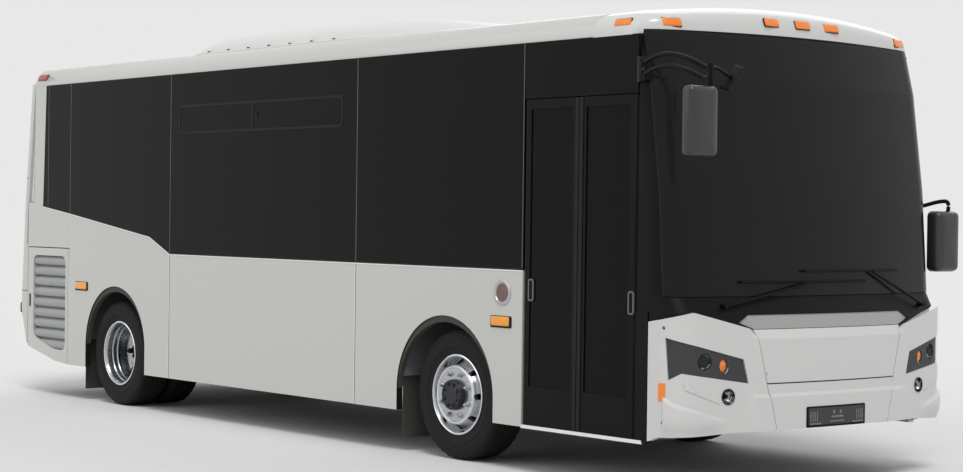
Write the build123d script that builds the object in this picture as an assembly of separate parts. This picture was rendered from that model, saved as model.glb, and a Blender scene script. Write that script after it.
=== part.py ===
from build123d import *
from math import cos, hypot, radians, sin, sqrt
import os

# City bus about 8.6 m long. Millimetres. X points forward, Y to the bus's left, Z up.
# The origin is on the ground, midway between the mirrors' front and the tail.
# A station is a distance behind the nose plane, which touches the front bumper.

# Overall sizes
BODY_LENGTH = 8650
BODY_HALF_WIDTH = 1220
MIRROR_REACH_AHEAD = 250
NOSE_X = (BODY_LENGTH - MIRROR_REACH_AHEAD) / 2
WALL = 50
SEAM = 4
DOOR_GAP = 6

# Running gear
FRONT_AXLE_STATION = 2272
REAR_OVERHANG = 1815
REAR_AXLE_STATION = BODY_LENGTH - REAR_OVERHANG
TYRE_OUTER_RADIUS = 433.5
TYRE_WIDTH = 265
TYRE_FACE_Y = BODY_HALF_WIDTH - 55
RIM_SEAT_RADIUS = 248
RIM_FLANGE_RADIUS = 262
DUAL_SPACING = 300
KINGPIN_Y = TYRE_FACE_Y - 275

# Heights of the body
SKIRT_Z = 289
BUMPER_BOTTOM_Z = 362
FLAP_BOTTOM_Z = 642
STRIP_BOTTOM_Z = 965
STRIP_TOP_Z = 1055
MASK_TOP_Z = 1067
GLASS_BASE_Z = 1160
WINDOW_TOP_Z = 2714
GLASS_TOP_Z = 2741
ROOF_CROWN_Z = 2920
CANT_RADIUS = 155
CROWN_RADIUS = 11100
FLOOR_Z = 720
REAR_FLOOR_Z = 1040
DECK = 40

# Stations of the seams between the panels, counted from the nose
MASK_REAR = 388
DOOR_FRONT = 489
CAP_REAR = 900
DOOR_REAR = 1534
SEAM_FRONT = 3356

# Stations of the seams near the tail, counted from the tail
SEAM_MID = BODY_LENGTH - 2728
SEAM_REAR = BODY_LENGTH - 1035
WINDOW_REAR_HIGH = BODY_LENGTH - 582
WINDOW_REAR_LOW = BODY_LENGTH - 525
PILLAR_REAR = BODY_LENGTH - 360
GRILLE_REAR = BODY_LENGTH - 251
RISER = REAR_AXLE_STATION - 785

# Cuts reach this far past the ends and the sides
BEYOND = 100
TAIL = BODY_LENGTH + 350
WIDE = BODY_HALF_WIDTH + 400

# Shape of the ends
FRONT_BOW_RADIUS = 5700
REAR_BOW_RADIUS = 6500
CORNER_RADIUS = 200
GLASS = 6

# Height and station of the front's centre line
FRONT_PROFILE = (
    (SKIRT_Z, 0),
    (STRIP_BOTTOM_Z, 0),
    (MASK_TOP_Z, 45),
    (GLASS_BASE_Z, 95),
    (1810, 140),
    (2450, 228),
    (GLASS_TOP_Z, 305),
    (2860, 345),
    (ROOF_CROWN_Z, 600),
)

# Height and station of the rear's centre line
REAR_PROFILE = (
    (411, BODY_LENGTH - 115),
    (738, BODY_LENGTH),
    (1690, BODY_LENGTH - 60),
    (GLASS_TOP_Z, BODY_LENGTH - 180),
    (2860, BODY_LENGTH - 230),
    (ROOF_CROWN_Z, BODY_LENGTH - 400),
)

# Station and height of the lower edge of the side windows
SILL = (
    (0, 1278),
    (SEAM_MID, 1282),
    (SEAM_MID + 324, 1414),
    (SEAM_REAR, 1592),
    (WINDOW_REAR_LOW, 1653),
    (BODY_LENGTH, 1700),
)

# Wheel arch: station of its centre, radius, centre height
ARCHES = (
    (FRONT_AXLE_STATION + 67, 520, 437),
    (REAR_AXLE_STATION - 25, 502, 490),
)
LIP = 40

NODES = {}


def x_at(station):
    return NOSE_X - station


def block(station_a, station_b, y_a, y_b, z_a, z_b):
    """A box between two stations, two sides and two heights."""
    size = Box(abs(station_b - station_a), abs(y_b - y_a), abs(z_b - z_a))
    centre = (x_at((station_a + station_b) / 2), (y_a + y_b) / 2, (z_a + z_b) / 2)
    return Pos(*centre) * size


def side_plate(points, y_a, y_b):
    """A plate whose outline is a list of (station, height), between two sides."""
    outline = Polygon(*[(x_at(s), z) for s, z in points], align=None)
    plane = Plane((0, max(y_a, y_b), 0), x_dir=(1, 0, 0), z_dir=(0, -1, 0))
    return extrude(plane * outline, amount=abs(y_b - y_a), dir=(0, -1, 0))


def cross_plate(points, station_a, station_b):
    """A plate whose outline is a list of (side, height), between two stations."""
    outline = Polygon(*points, align=None)
    plane = Plane((x_at(max(station_a, station_b)), 0, 0), x_dir=(0, 1, 0), z_dir=(1, 0, 0))
    return extrude(plane * outline, amount=abs(station_b - station_a), dir=(1, 0, 0))


def rod(start, end, radius):
    """A round bar between two points."""
    way = Vector(*end) - Vector(*start)
    return extrude(Plane(start, z_dir=way.normalized()) * Circle(radius), amount=way.length)


def mirrored(shape):
    return mirror(shape, about=Plane.XZ)


def both(shape):
    return [shape, mirrored(shape)]


def put(name, shapes):
    """Keep one node: a single shape, or a list of separate solids."""
    parts = shapes if isinstance(shapes, (list, tuple)) else [shapes]
    solids = [solid for part in parts for solid in part.solids()]
    NODES[name] = solids[0] if len(solids) == 1 else Compound(children=solids)


def value_at(table, place):
    """Read a table of (place, value) between its rows."""
    for (place_a, value_a), (place_b, value_b) in zip(table, table[1:]):
        if place_a <= place <= place_b:
            return value_a + (value_b - value_a) * (place - place_a) / (place_b - place_a)
    return table[-1][1]


def sill_points(station_a, station_b, lift):
    """Points along the window sill between two stations, raised by a lift."""
    inner = [s for s, z in SILL if station_a < s < station_b]
    return [(s, value_at(SILL, s) + lift) for s in [station_a, *inner, station_b]]


def plan_face(inset, tip, tail, bow_radius):
    """Plan of one end of the body: bowed across, round at the corners."""
    half = BODY_HALF_WIDTH - inset
    radius = bow_radius - inset
    front = tip - inset
    shoulder = front - radius + sqrt(radius ** 2 - half ** 2)
    outline = [
        ThreePointArc((shoulder, -half), (front, 0), (shoulder, half)),
        Line((shoulder, half), (tail, half)),
        Line((tail, half), (tail, -half)),
        Line((tail, -half), (shoulder, -half)),
    ]
    face = make_face(outline)
    return fillet(face.vertices().group_by(Axis.X)[-1], CORNER_RADIUS - inset)


def leaning_block(inset, low, high, tail, bow_radius):
    """The plan extruded from one (height, tip) to the next along a lean."""
    (z_low, tip_low), (z_high, tip_high) = low, high
    run = tip_high - tip_low
    rise = z_high - z_low
    face = Pos(0, 0, z_low) * plan_face(inset, tip_low, tail, bow_radius)
    return extrude(face, amount=hypot(run, rise), dir=(run, 0, rise))


def end_skin(profile, z_low, z_high, outer, inner, tail, bow_radius):
    """Wall of one end between two heights, from one inset to a deeper one."""
    heights = [z_low, *[z for z, s in profile if z_low < z < z_high], z_high]
    rows = [(z, value_at(profile, z)) for z in heights]
    skin = None
    for low, high in zip(rows, rows[1:]):
        wall = leaning_block(outer, low, high, tail, bow_radius)
        if inner is not None:
            wall -= leaning_block(inner, low, high, tail, bow_radius)
        skin = wall if skin is None else skin + wall
    return skin


END_DEPTH = 1400


def front_skin(z_low, z_high, outer, inner=None):
    profile = [(z, x_at(s)) for z, s in FRONT_PROFILE]
    return end_skin(profile, z_low, z_high, outer, inner, NOSE_X - END_DEPTH, FRONT_BOW_RADIUS)


def rear_skin(z_low, z_high, outer, inner=None):
    profile = [(z, -x_at(s)) for z, s in REAR_PROFILE]
    tail = -x_at(BODY_LENGTH) - END_DEPTH
    skin = end_skin(profile, z_low, z_high, outer, inner, tail, REAR_BOW_RADIUS)
    return mirror(skin, about=Plane.YZ)


def section_face(inset):
    """Cross-section of the body with its crowned roof and rounded cant rails."""
    half = BODY_HALF_WIDTH - inset
    crown = ROOF_CROWN_Z - inset
    radius = CROWN_RADIUS - inset
    shoulder = crown - radius + sqrt(radius ** 2 - half ** 2)
    outline = [
        ThreePointArc((-half, shoulder), (0, crown), (half, shoulder)),
        Line((half, shoulder), (half, 0)),
        Line((half, 0), (-half, 0)),
        Line((-half, 0), (-half, shoulder)),
    ]
    face = make_face(outline)
    return fillet(face.vertices().group_by(Axis.Y)[-1], CANT_RADIUS - inset)


def section_block(inset, station_a, station_b):
    """The body's cross-section drawn out between two stations."""
    plane = Plane((x_at(max(station_a, station_b)), 0, 0), x_dir=(0, 1, 0), z_dir=(1, 0, 0))
    return extrude(plane * section_face(inset), amount=abs(station_b - station_a))


# Chassis frame
RAIL_Y = 430
RAIL_WIDTH = 80
RAIL_BOTTOM_Z = 440
RAIL_TOP_Z = 640
KICK_BOTTOM_Z = 720
KICK_TOP_Z = 860
RAIL_FRONT = 330
KICK_START = RISER + 10
KICK_END = RISER + 240
KICK_SHIFT = 40
RAIL_REAR = BODY_LENGTH - 250
CROSS_DEPTH = 120
FRAME_ROWS = (
    # station, cross-member, outrigger, foot under the floor, top
    (400, True, False, True, RAIL_TOP_Z),
    (1300, True, False, True, RAIL_TOP_Z),
    (1640, False, True, True, RAIL_TOP_Z),
    (3150, True, True, True, RAIL_TOP_Z),
    (4300, True, True, True, RAIL_TOP_Z),
    (RISER - 550, True, True, True, RAIL_TOP_Z),
    (RISER + 140, False, True, False, KICK_BOTTOM_Z),
    (RISER + 350, True, False, True, KICK_TOP_Z),
    (BODY_LENGTH - 1150, True, True, True, KICK_TOP_Z),
    (BODY_LENGTH - 310, True, False, True, KICK_TOP_Z),
)
ARM_HALF = 30
ARM_DEPTH = 60
TOW_EYE_RADIUS = 21
TOW_EYE_STATION = 240
TOW_PLATE = 40
BUMPER_BEAM = (440, 520)
REAR_BEAM = (740, 822)
BEAM_DEPTH = 50
ENGINE_FRONT = BODY_LENGTH - 1070
ENGINE_REAR = BODY_LENGTH - 380
ENGINE_HALF = 360
ENGINE_BOTTOM_Z = 420
ENGINE_TOP_Z = 960
ENGINE_FEET = (ENGINE_FRONT + 100, ENGINE_REAR - 110)
FOOT_HALF = 50
FOOT_HEIGHT = 70
BEAM_SHORT = 40
BEAM_OVERHANG = 100
SILL_LEDGE = 60


def frame_rail():
    """The left rail in its three straight runs, low, rising and high."""
    inner, outer = RAIL_Y - RAIL_WIDTH / 2, RAIL_Y + RAIL_WIDTH / 2
    low_end, high_end = KICK_START - KICK_SHIFT, KICK_END - KICK_SHIFT
    top = [
        (RAIL_FRONT, RAIL_TOP_Z),
        (KICK_START, RAIL_TOP_Z),
        (KICK_END, KICK_TOP_Z),
        (RAIL_REAR, KICK_TOP_Z),
    ]
    foot = [
        (RAIL_FRONT, RAIL_BOTTOM_Z),
        (low_end, RAIL_BOTTOM_Z),
        (high_end, KICK_BOTTOM_Z),
        (RAIL_REAR, KICK_BOTTOM_Z),
    ]
    runs = zip(top, top[1:], foot[1:], foot)
    return [side_plate(run, inner, outer) for run in runs]


def end_beams():
    """Bowed beams behind the front panels and behind the rear bumper."""
    low, high = BUMPER_BEAM
    front = front_skin(low, high, FRONT_SKIN, FRONT_SKIN + BEAM_DEPTH)
    reach = SEAM_Y_LOW - BEAM_SHORT
    front = front & block(-BEYOND, RAIL_FRONT, -reach, reach, low, high)
    low, high = REAR_BEAM
    rear = rear_skin(low, high, WALL, WALL + BEAM_DEPTH)
    reach = HATCH_HALF + BEAM_OVERHANG
    rear = rear & block(RAIL_REAR, TAIL, -reach, reach, low, high)
    return [front, rear]


def chassis_frame():
    """Two kicked-up rails with cross-members, outriggers, beams and engine feet."""
    inner, outer = RAIL_Y - RAIL_WIDTH / 2, RAIL_Y + RAIL_WIDTH / 2
    wall = BODY_HALF_WIDTH - WALL
    across = end_beams()
    half = frame_rail()
    for station, cross, arm, foot, top in FRAME_ROWS:
        front, rear = station - ARM_HALF, station + ARM_HALF
        if foot:
            deck = FLOOR_Z - DECK if top == RAIL_TOP_Z else REAR_FLOOR_Z - DECK
            half.append(block(front, rear, inner, outer, top, deck))
        if arm:
            half.append(block(front, rear, outer, wall, top - ARM_DEPTH, top))
        if cross:
            across.append(block(front - 10, rear + 10, -inner, inner, top - CROSS_DEPTH, top))
    for station in ENGINE_FEET:
        high = KICK_BOTTOM_Z + FOOT_HEIGHT
        half.append(block(station - FOOT_HALF, station + FOOT_HALF, ENGINE_HALF, inner, KICK_BOTTOM_Z, high))
    eye = Pos(x_at(TOW_EYE_STATION), RAIL_Y, RAIL_BOTTOM_Z) * Cylinder(TOW_EYE_RADIUS, 4 * TOW_PLATE)
    low = RAIL_BOTTOM_Z
    half.append(block(TOW_EYE_STATION - FOOT_HALF, RAIL_FRONT, inner, outer, low, low + TOW_PLATE) - eye)
    high = BUMPER_BEAM[1]
    horn = block(0, RAIL_FRONT, inner, outer, high - TOW_PLATE, high)
    half.append(horn - front_skin(low, high, -BEYOND, FRONT_SKIN + BEAM_DEPTH))
    low, high = REAR_BEAM
    horn = block(RAIL_REAR, BODY_LENGTH, inner, outer, low, high)
    half.append(horn - rear_skin(low, high, -BEYOND, WALL + BEAM_DEPTH))
    return across + half + [mirrored(bar) for bar in half]


# The bright sill under the doorway, and the pins that carry the leaves
SILL_LOW_Z = 282
SILL_HIGH_Z = 304
PIN_RADIUS = 8
PIN_BITE = 15
BORE_CLEARANCE = 0.3
LEAF = 40
PIVOT_Y = -BODY_HALF_WIDTH + LEAF / 2
LEAF_PIVOTS = (DOOR_FRONT + DOOR_GAP + LEAF / 2, DOOR_REAR - DOOR_GAP - LEAF / 2)

# Floor, wheel housings, riser and step well
HOUSING_Y = BODY_HALF_WIDTH - 630
FRONT_HOUSING_REACH = 560
REAR_HOUSING_REACH = 545
FRONT_HOUSING_TOP = 970
SHEET = 20
HOUSING_BOTTOM = 520
FLOOR_FRONT = 420
FLOOR_REAR = BODY_LENGTH - 280
WELL_FRONT = DOOR_FRONT
WELL_REAR = DOOR_REAR
WELL_Y = BODY_HALF_WIDTH - 580
STEPS = (
    # height of the tread, how far in it starts from the wall
    (340, 0),
    (530, 250),
)


def wheel_housing(axle, reach, top, lid):
    """Walls round one left wheel, and a lid where no deck lies over it."""
    wall = BODY_HALF_WIDTH - WALL
    front, rear = axle - reach, axle + reach
    made = [
        block(front - SHEET, rear + SHEET, HOUSING_Y - SHEET, HOUSING_Y, HOUSING_BOTTOM, top),
        block(front - SHEET, front, HOUSING_Y, wall, HOUSING_BOTTOM, top),
        block(rear, rear + SHEET, HOUSING_Y, wall, HOUSING_BOTTOM, top),
    ]
    if lid:
        made.append(block(front, rear, HOUSING_Y, wall, top - SHEET, top))
    return made


def floor_deck():
    """Floor panels, riser, wheel housings and the steps inside the door."""
    wall = BODY_HALF_WIDTH - WALL
    house_front = FRONT_AXLE_STATION - FRONT_HOUSING_REACH - SHEET
    house_rear = FRONT_AXLE_STATION + FRONT_HOUSING_REACH + SHEET
    house_side = HOUSING_Y - SHEET
    panels = (
        # front station, rear station, right side, left side, top
        (FLOOR_FRONT, WELL_FRONT, -wall, wall, FLOOR_Z),
        (WELL_FRONT, WELL_REAR, -WELL_Y + SHEET, wall, FLOOR_Z),
        (WELL_REAR, house_front, -wall, wall, FLOOR_Z),
        (house_front, house_rear, -house_side, house_side, FLOOR_Z),
        (house_rear, RISER - SHEET, -wall, wall, FLOOR_Z),
        (RISER, FLOOR_REAR, -wall, wall, REAR_FLOOR_Z),
    )
    made = [block(a, b, right, left, top - DECK, top) for a, b, right, left, top in panels]
    made.append(block(RISER - SHEET, RISER, -wall, wall, FLOOR_Z - DECK, REAR_FLOOR_Z))
    housings = wheel_housing(FRONT_AXLE_STATION, FRONT_HOUSING_REACH, FRONT_HOUSING_TOP, True)
    housings += wheel_housing(REAR_AXLE_STATION, REAR_HOUSING_REACH, REAR_FLOOR_Z - DECK, False)
    for housing in housings:
        made += both(housing)
    (first_z, first_in), (second_z, second_in) = STEPS
    low = first_z - SHEET
    edge = -wall + second_in
    made.append(block(WELL_FRONT, WELL_REAR, -wall + first_in, edge, low, first_z))
    made.append(block(WELL_FRONT, WELL_REAR, edge, -WELL_Y, low, second_z))
    made.append(block(WELL_FRONT, WELL_REAR, -WELL_Y, -WELL_Y + SHEET, low, FLOOR_Z))
    made.append(block(WELL_FRONT, WELL_REAR, -wall, -wall + SILL_LEDGE, SILL_LOW_Z, low))
    strip = block(DOOR_FRONT, DOOR_REAR, -BODY_HALF_WIDTH, -wall, SILL_LOW_Z, SILL_HIGH_Z)
    for station in LEAF_PIVOTS:
        bore = Cylinder(PIN_RADIUS + BORE_CLEARANCE, 2 * PIN_BITE)
        strip -= Pos(x_at(station), PIVOT_Y, SILL_HIGH_Z) * bore
    made.append(strip)
    return made


# Roof
ROOF_SKIN = 45


def roof_shell():
    shell = section_block(0, CAP_REAR, PILLAR_REAR) - section_block(ROOF_SKIN, CAP_REAR, PILLAR_REAR)
    keep = block(CAP_REAR, PILLAR_REAR, -WIDE, WIDE, WINDOW_TOP_Z, ROOF_CROWN_Z + BEYOND)
    return shell & keep


def front_cap():
    """White moulding that turns the windscreen's top into the roof."""
    outer = front_skin(WINDOW_TOP_Z, ROOF_CROWN_Z, 0) & section_block(0, 0, CAP_REAR - SEAM)
    inner = front_skin(WINDOW_TOP_Z, ROOF_CROWN_Z - ROOF_SKIN, WALL)
    inner = inner & section_block(ROOF_SKIN, 0, CAP_REAR)
    cap = outer - inner
    glazing = block(-BEYOND, DOOR_FRONT, -WIDE, WIDE, WINDOW_TOP_Z, GLASS_TOP_Z)
    return cap - glazing


# Windscreen and its black surround
SURROUND_DEPTH = 45
POST_WIDTH = 95
COWL_RISE = 45
HEADER_DROP = 50
OPENING_ROUND = 60
GLASS_EDGE_Y = BODY_HALF_WIDTH - 30


def windscreen_opening(grow):
    """The daylight opening of the windscreen as seen from ahead."""
    half = BODY_HALF_WIDTH - POST_WIDTH + grow
    low = GLASS_BASE_Z + COWL_RISE - grow
    high = GLASS_TOP_Z - HEADER_DROP + grow
    outline = RectangleRounded(2 * half, high - low, OPENING_ROUND)
    plane = Plane((x_at(CAP_REAR), 0, (low + high) / 2), x_dir=(0, 1, 0), z_dir=(1, 0, 0))
    return extrude(plane * outline, amount=CAP_REAR + BEYOND)


def windshield_surround():
    """Black cowl, corner posts and header behind the windscreen, down to the mask's edge."""
    ring = front_skin(STRIP_BOTTOM_Z, GLASS_TOP_Z, GLASS, GLASS + SURROUND_DEPTH)
    ring = ring & block(-BEYOND, DOOR_FRONT, -WIDE, WIDE, STRIP_BOTTOM_Z, GLASS_TOP_Z)
    ring -= block(MASK_REAR - SEAM, DOOR_FRONT, -WIDE, WIDE, 0, MASK_TOP_Z)
    ring -= cross_plate(upper_outline(-SEAM), -BEYOND, FRONT_ZONE)
    for outline in corner_outlines():
        ring -= cross_plate(outline, -BEYOND, FRONT_ZONE)
    return ring - windscreen_opening(0)


def windshield():
    pane = front_skin(GLASS_BASE_Z, GLASS_TOP_Z, 0, GLASS)
    return pane & block(-BEYOND, DOOR_FRONT, -GLASS_EDGE_Y, GLASS_EDGE_Y, GLASS_BASE_Z, GLASS_TOP_Z)


# Front panels below the windscreen
FRONT_SKIN = 40
FRONT_ZONE = 500
SEAM_Y_TOP = 690
SEAM_Y_STRIP = 670
SEAM_Y_MID = 581
SEAM_Y_LOW = 495
LAMP_OUTLINE = (
    # side, height
    (742, 778),
    (1225, 926),
    (1225, 676),
    (1150, 700),
    (736, 651),
)
LAMP_REAR = 250
LAMP_DEPTH = 90
LAMP_LOW_Z = 640
LAMP_HIGH_Z = 940
PAN_WALL = 8
LENS = 5
FOG_Y = 862
FOG_Z = 573
FOG_RADIUS = 48
FOG_SET_IN = 4
PLATE_BOLT_Y = 165
PLATE_BOLT_RADIUS = 3.5
PLATE_Z = 428
STRIP_TIP = (776, 1007)
CORNER_TOP = (
    # side, height of the corner panel's top edge
    (SEAM_Y_STRIP, STRIP_BOTTOM_Z),
    (1066, MASK_TOP_Z),
    (BODY_HALF_WIDTH, 1020),
)
CORNER_FOOT = (
    # side, height of the corner panel's bottom edge
    (SEAM_Y_LOW, BUMPER_BOTTOM_Z),
    (835, 361),
    (BODY_HALF_WIDTH, 334),
)


def lamp_prism(grow):
    """Outline of a head lamp drawn out along the bus, a little larger or smaller."""
    sketch = Polygon(*LAMP_OUTLINE, align=None)
    if grow:
        sketch = offset(sketch, amount=grow)
    plane = Plane((x_at(LAMP_REAR + grow), 0, 0), x_dir=(0, 1, 0), z_dir=(1, 0, 0))
    return extrude(plane * sketch, amount=LAMP_REAR + BEYOND, dir=(1, 0, 0))


def upper_outline(gap):
    """The service panel over the bumper, with the pointed ends of its top strip."""
    tip_y, tip_z = STRIP_TIP
    right = [
        (SEAM_Y_MID + gap, FLAP_BOTTOM_Z - gap),
        (SEAM_Y_STRIP + gap, STRIP_BOTTOM_Z),
        (tip_y + gap, tip_z),
        (SEAM_Y_TOP + gap, STRIP_TOP_Z + gap),
    ]
    return right + [(-y, z) for y, z in reversed(right)]


def middle_outline(gap):
    """The bumper's middle, narrower towards its bottom."""
    return [
        (-SEAM_Y_LOW - gap, BUMPER_BOTTOM_Z),
        (SEAM_Y_LOW + gap, BUMPER_BOTTOM_Z),
        (SEAM_Y_MID + gap, FLAP_BOTTOM_Z - DOOR_GAP),
        (-SEAM_Y_MID - gap, FLAP_BOTTOM_Z - DOOR_GAP),
    ]


def corner_outlines():
    """Left and right corner panels, seen from ahead."""
    outer = [(WIDE, CORNER_TOP[-1][1]), (WIDE, CORNER_FOOT[-1][1])]
    left = [(SEAM_Y_MID, FLAP_BOTTOM_Z), *CORNER_TOP, *outer, *reversed(CORNER_FOOT)]
    return [left, [(-y, z) for y, z in reversed(left)]]


def fog_cut(radius):
    hole = Pos(x_at(BEYOND), FOG_Y, FOG_Z) * Rot(0, 90, 0) * Cylinder(radius, 4 * BEYOND)
    return hole + mirrored(hole)


def front_panels():
    """Two corner panels round the lamps, the bumper middle and the service panel over it."""
    skin = front_skin(SKIRT_Z, MASK_TOP_Z, 0, FRONT_SKIN)
    skin = skin & block(-BEYOND, MASK_REAR - SEAM, -WIDE, WIDE, SKIRT_Z, MASK_TOP_Z)
    lamps = lamp_prism(0)
    cuts = lamps + mirrored(lamps) + fog_cut(FOG_RADIUS)
    corners = [(skin & cross_plate(outline, -BEYOND, FRONT_ZONE)) - cuts for outline in corner_outlines()]
    middle = skin & cross_plate(middle_outline(-SEAM), -BEYOND, FRONT_ZONE)
    for side in (-1, 1):
        bolt = Rot(0, 90, 0) * Cylinder(PLATE_BOLT_RADIUS, 2 * BEYOND)
        middle -= Pos(x_at(0), side * PLATE_BOLT_Y, PLATE_Z) * bolt
    upper = skin & cross_plate(upper_outline(-SEAM), -BEYOND, FRONT_ZONE)
    return corners + [middle, upper]


def headlamp_housings():
    pan = front_skin(LAMP_LOW_Z, LAMP_HIGH_Z, LENS, LAMP_DEPTH) & lamp_prism(0)
    bowl = front_skin(LAMP_LOW_Z, LAMP_HIGH_Z, 0, LAMP_DEPTH - PAN_WALL) & lamp_prism(-PAN_WALL)
    return both(pan - bowl)


def headlamp_lenses():
    lens = front_skin(LAMP_LOW_Z, LAMP_HIGH_Z, 0, LENS) & lamp_prism(-1)
    fog = front_skin(FOG_Z - BEYOND, FOG_Z + BEYOND, FOG_SET_IN, FRONT_SKIN) & fog_cut(FOG_RADIUS)
    return both(lens) + [fog]


# Wipers: pivot side and height, arm end side and height, blade from side to side, blade height
WIPERS = (
    (-858, 1105, -180, 1230, -709, 360, 1245),
    (954, 1088, 450, 1298, -200, 720, 1310),
)
WIPER_OFF = 26
BLADE_GAP = 1


def screen_x(y, z):
    """How far forward the windscreen's face is at a side and height."""
    tip = x_at(value_at(FRONT_PROFILE, z))
    return tip - FRONT_BOW_RADIUS + sqrt(FRONT_BOW_RADIUS ** 2 - y ** 2)


def wipers():
    made = []
    for pivot_y, pivot_z, end_y, end_z, blade_a, blade_b, blade_z in WIPERS:
        base = (screen_x(pivot_y, pivot_z) - GLASS - 30, pivot_y, pivot_z)
        knee = (screen_x(pivot_y, pivot_z) + WIPER_OFF, pivot_y, pivot_z)
        tip = (screen_x(end_y, end_z) + WIPER_OFF, end_y, end_z)
        wiper = rod(base, (knee[0] + 10, pivot_y, pivot_z), 14) + rod(knee, tip, 9)
        ends = [(screen_x(y, blade_z) + WIPER_OFF - 6, y, blade_z) for y in (blade_a, end_y, blade_b)]
        wiper += rod(tip, ends[1], 8)
        wiper += rod(ends[0], ends[1], 8) + rod(ends[1], ends[2], 8)
        face = front_skin(MASK_TOP_Z, GLASS_TOP_Z, GLASS)
        made.append(wiper - face - front_skin(GLASS_BASE_Z - 60, GLASS_TOP_Z, -BLADE_GAP))
    return made


# Side panels
GRILLE_TOP_Z = 1290


def arch_cut(arch):
    station, radius, height = arch
    hole = Pos(x_at(station), 0, height) * Rot(90, 0, 0) * Cylinder(radius, 4 * BODY_HALF_WIDTH)
    return hole + block(station - radius, station + radius, -WIDE, WIDE, 0, height)


def panel_outline(station_a, station_b):
    top = sill_points(station_a, station_b, 0)
    return [(station_a, SKIRT_Z), *top, (station_b, SKIRT_Z)]


def quarter_outline():
    """The panel behind the last window, over the engine's side door."""
    low = GRILLE_TOP_Z + DOOR_GAP
    high = REAR_MID_Z - SEAM
    return [
        (SEAM_REAR + SEAM / 2, low),
        (SEAM_REAR + SEAM / 2, value_at(SILL, SEAM_REAR)),
        (WINDOW_REAR_LOW, value_at(SILL, WINDOW_REAR_LOW)),
        (WINDOW_REAR_HIGH, WINDOW_TOP_Z),
        (PILLAR_REAR - SEAM, WINDOW_TOP_Z),
        (PILLAR_REAR - SEAM, high),
        (GRILLE_REAR - SEAM, high),
        (GRILLE_REAR - SEAM, low),
    ]


def post_panel(rear_station):
    """Body-coloured foot of the corner post, behind the lamp panel."""
    wall = BODY_HALF_WIDTH - WALL
    return block(MASK_REAR, rear_station, wall, BODY_HALF_WIDTH, SKIRT_Z, MASK_TOP_Z)


def side_panels(front_rows):
    """Panels of the left side, from rows of front and rear stations, and the quarter."""
    rows = [*front_rows, (SEAM_FRONT, SEAM_MID), (SEAM_MID, SEAM_REAR)]
    made = []
    for station_a, station_b in rows:
        outline = panel_outline(station_a + SEAM / 2, station_b - SEAM / 2)
        panel = side_plate(outline, BODY_HALF_WIDTH - WALL, BODY_HALF_WIDTH)
        for arch in ARCHES:
            panel -= arch_cut(arch)
        made.append(panel)
    quarter = side_plate(quarter_outline(), BODY_HALF_WIDTH - WALL, BODY_HALF_WIDTH)
    pivot = SEAM_REAR + SEAM / 2 + DOOR_GAP + WALL / 2
    bore = Cylinder(PIN_RADIUS + BORE_CLEARANCE, 2 * PIN_BITE)
    quarter -= Pos(x_at(pivot), BODY_HALF_WIDTH - WALL / 2, GRILLE_TOP_Z + DOOR_GAP) * bore
    made.append(quarter)
    return made


def right_side_panels():
    panels = side_panels([(DOOR_REAR, SEAM_FRONT)]) + [post_panel(DOOR_FRONT)]
    return [mirrored(panel) for panel in panels]


def left_side_panels():
    return side_panels([(DOOR_FRONT, SEAM_FRONT)]) + [post_panel(DOOR_FRONT - SEAM / 2)]


# Side windows: front station, rear station at the sill, rear station at the top
BAYS = (
    (DOOR_FRONT, DOOR_REAR, DOOR_REAR),
    (DOOR_REAR, SEAM_FRONT, SEAM_FRONT),
    (SEAM_FRONT, SEAM_MID, SEAM_MID),
    (SEAM_MID, SEAM_REAR, SEAM_REAR),
    (SEAM_REAR, WINDOW_REAR_LOW, WINDOW_REAR_HIGH),
)
PILLAR = 45
RAIL = 55
DOOR_HEADER_Z = 2355


def bay_outline(bay, inset, lift):
    """Outline of one bay, set in at its sides and raised off the sill."""
    front, rear_low, rear_high = bay
    sill = sill_points(front + inset, rear_low - inset, lift)
    return [*sill, (rear_high - inset, WINDOW_TOP_Z - lift), (front + inset, WINDOW_TOP_Z - lift)]


def window_frame(bays):
    """Pillars and rails of the left side behind the glass."""
    first, last = bays[0], bays[-1]
    outline = bay_outline((first[0], last[1], last[2]), 0, 0)
    inside, outside = BODY_HALF_WIDTH - WALL, BODY_HALF_WIDTH - GLASS
    frame = side_plate(outline, inside, outside)
    for bay in bays:
        frame -= side_plate(bay_outline(bay, PILLAR, RAIL), inside - 10, outside + 10)
    return frame


def panes(bays):
    inside = BODY_HALF_WIDTH - GLASS
    return [side_plate(bay_outline(bay, SEAM / 2, SEAM / 2), inside, BODY_HALF_WIDTH) for bay in bays]


def right_header():
    """Frame over the doorway, joined to the first pillar behind it."""
    inside, outside = BODY_HALF_WIDTH - WALL, BODY_HALF_WIDTH - GLASS
    low = DOOR_HEADER_Z + DOOR_GAP
    return block(DOOR_FRONT, DOOR_REAR, inside, outside, low, WINDOW_TOP_Z)


def window_frames():
    left = window_frame(BAYS)
    right = mirrored(window_frame(BAYS[1:]) + right_header())
    for station in LEAF_PIVOTS:
        bore = Cylinder(PIN_RADIUS + BORE_CLEARANCE, 2 * PIN_BITE)
        right -= Pos(x_at(station), PIVOT_Y, DOOR_HEADER_Z + DOOR_GAP) * bore
    return [left, right]


def side_windows():
    right = [mirrored(pane) for pane in panes(BAYS[1:])]
    low = DOOR_HEADER_Z + DOOR_GAP
    inside = BODY_HALF_WIDTH - GLASS
    cover = block(DOOR_FRONT + SEAM, DOOR_REAR - SEAM, -BODY_HALF_WIDTH, -inside, low, WINDOW_TOP_Z - SEAM)
    return panes(BAYS) + right + [cover]


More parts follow.
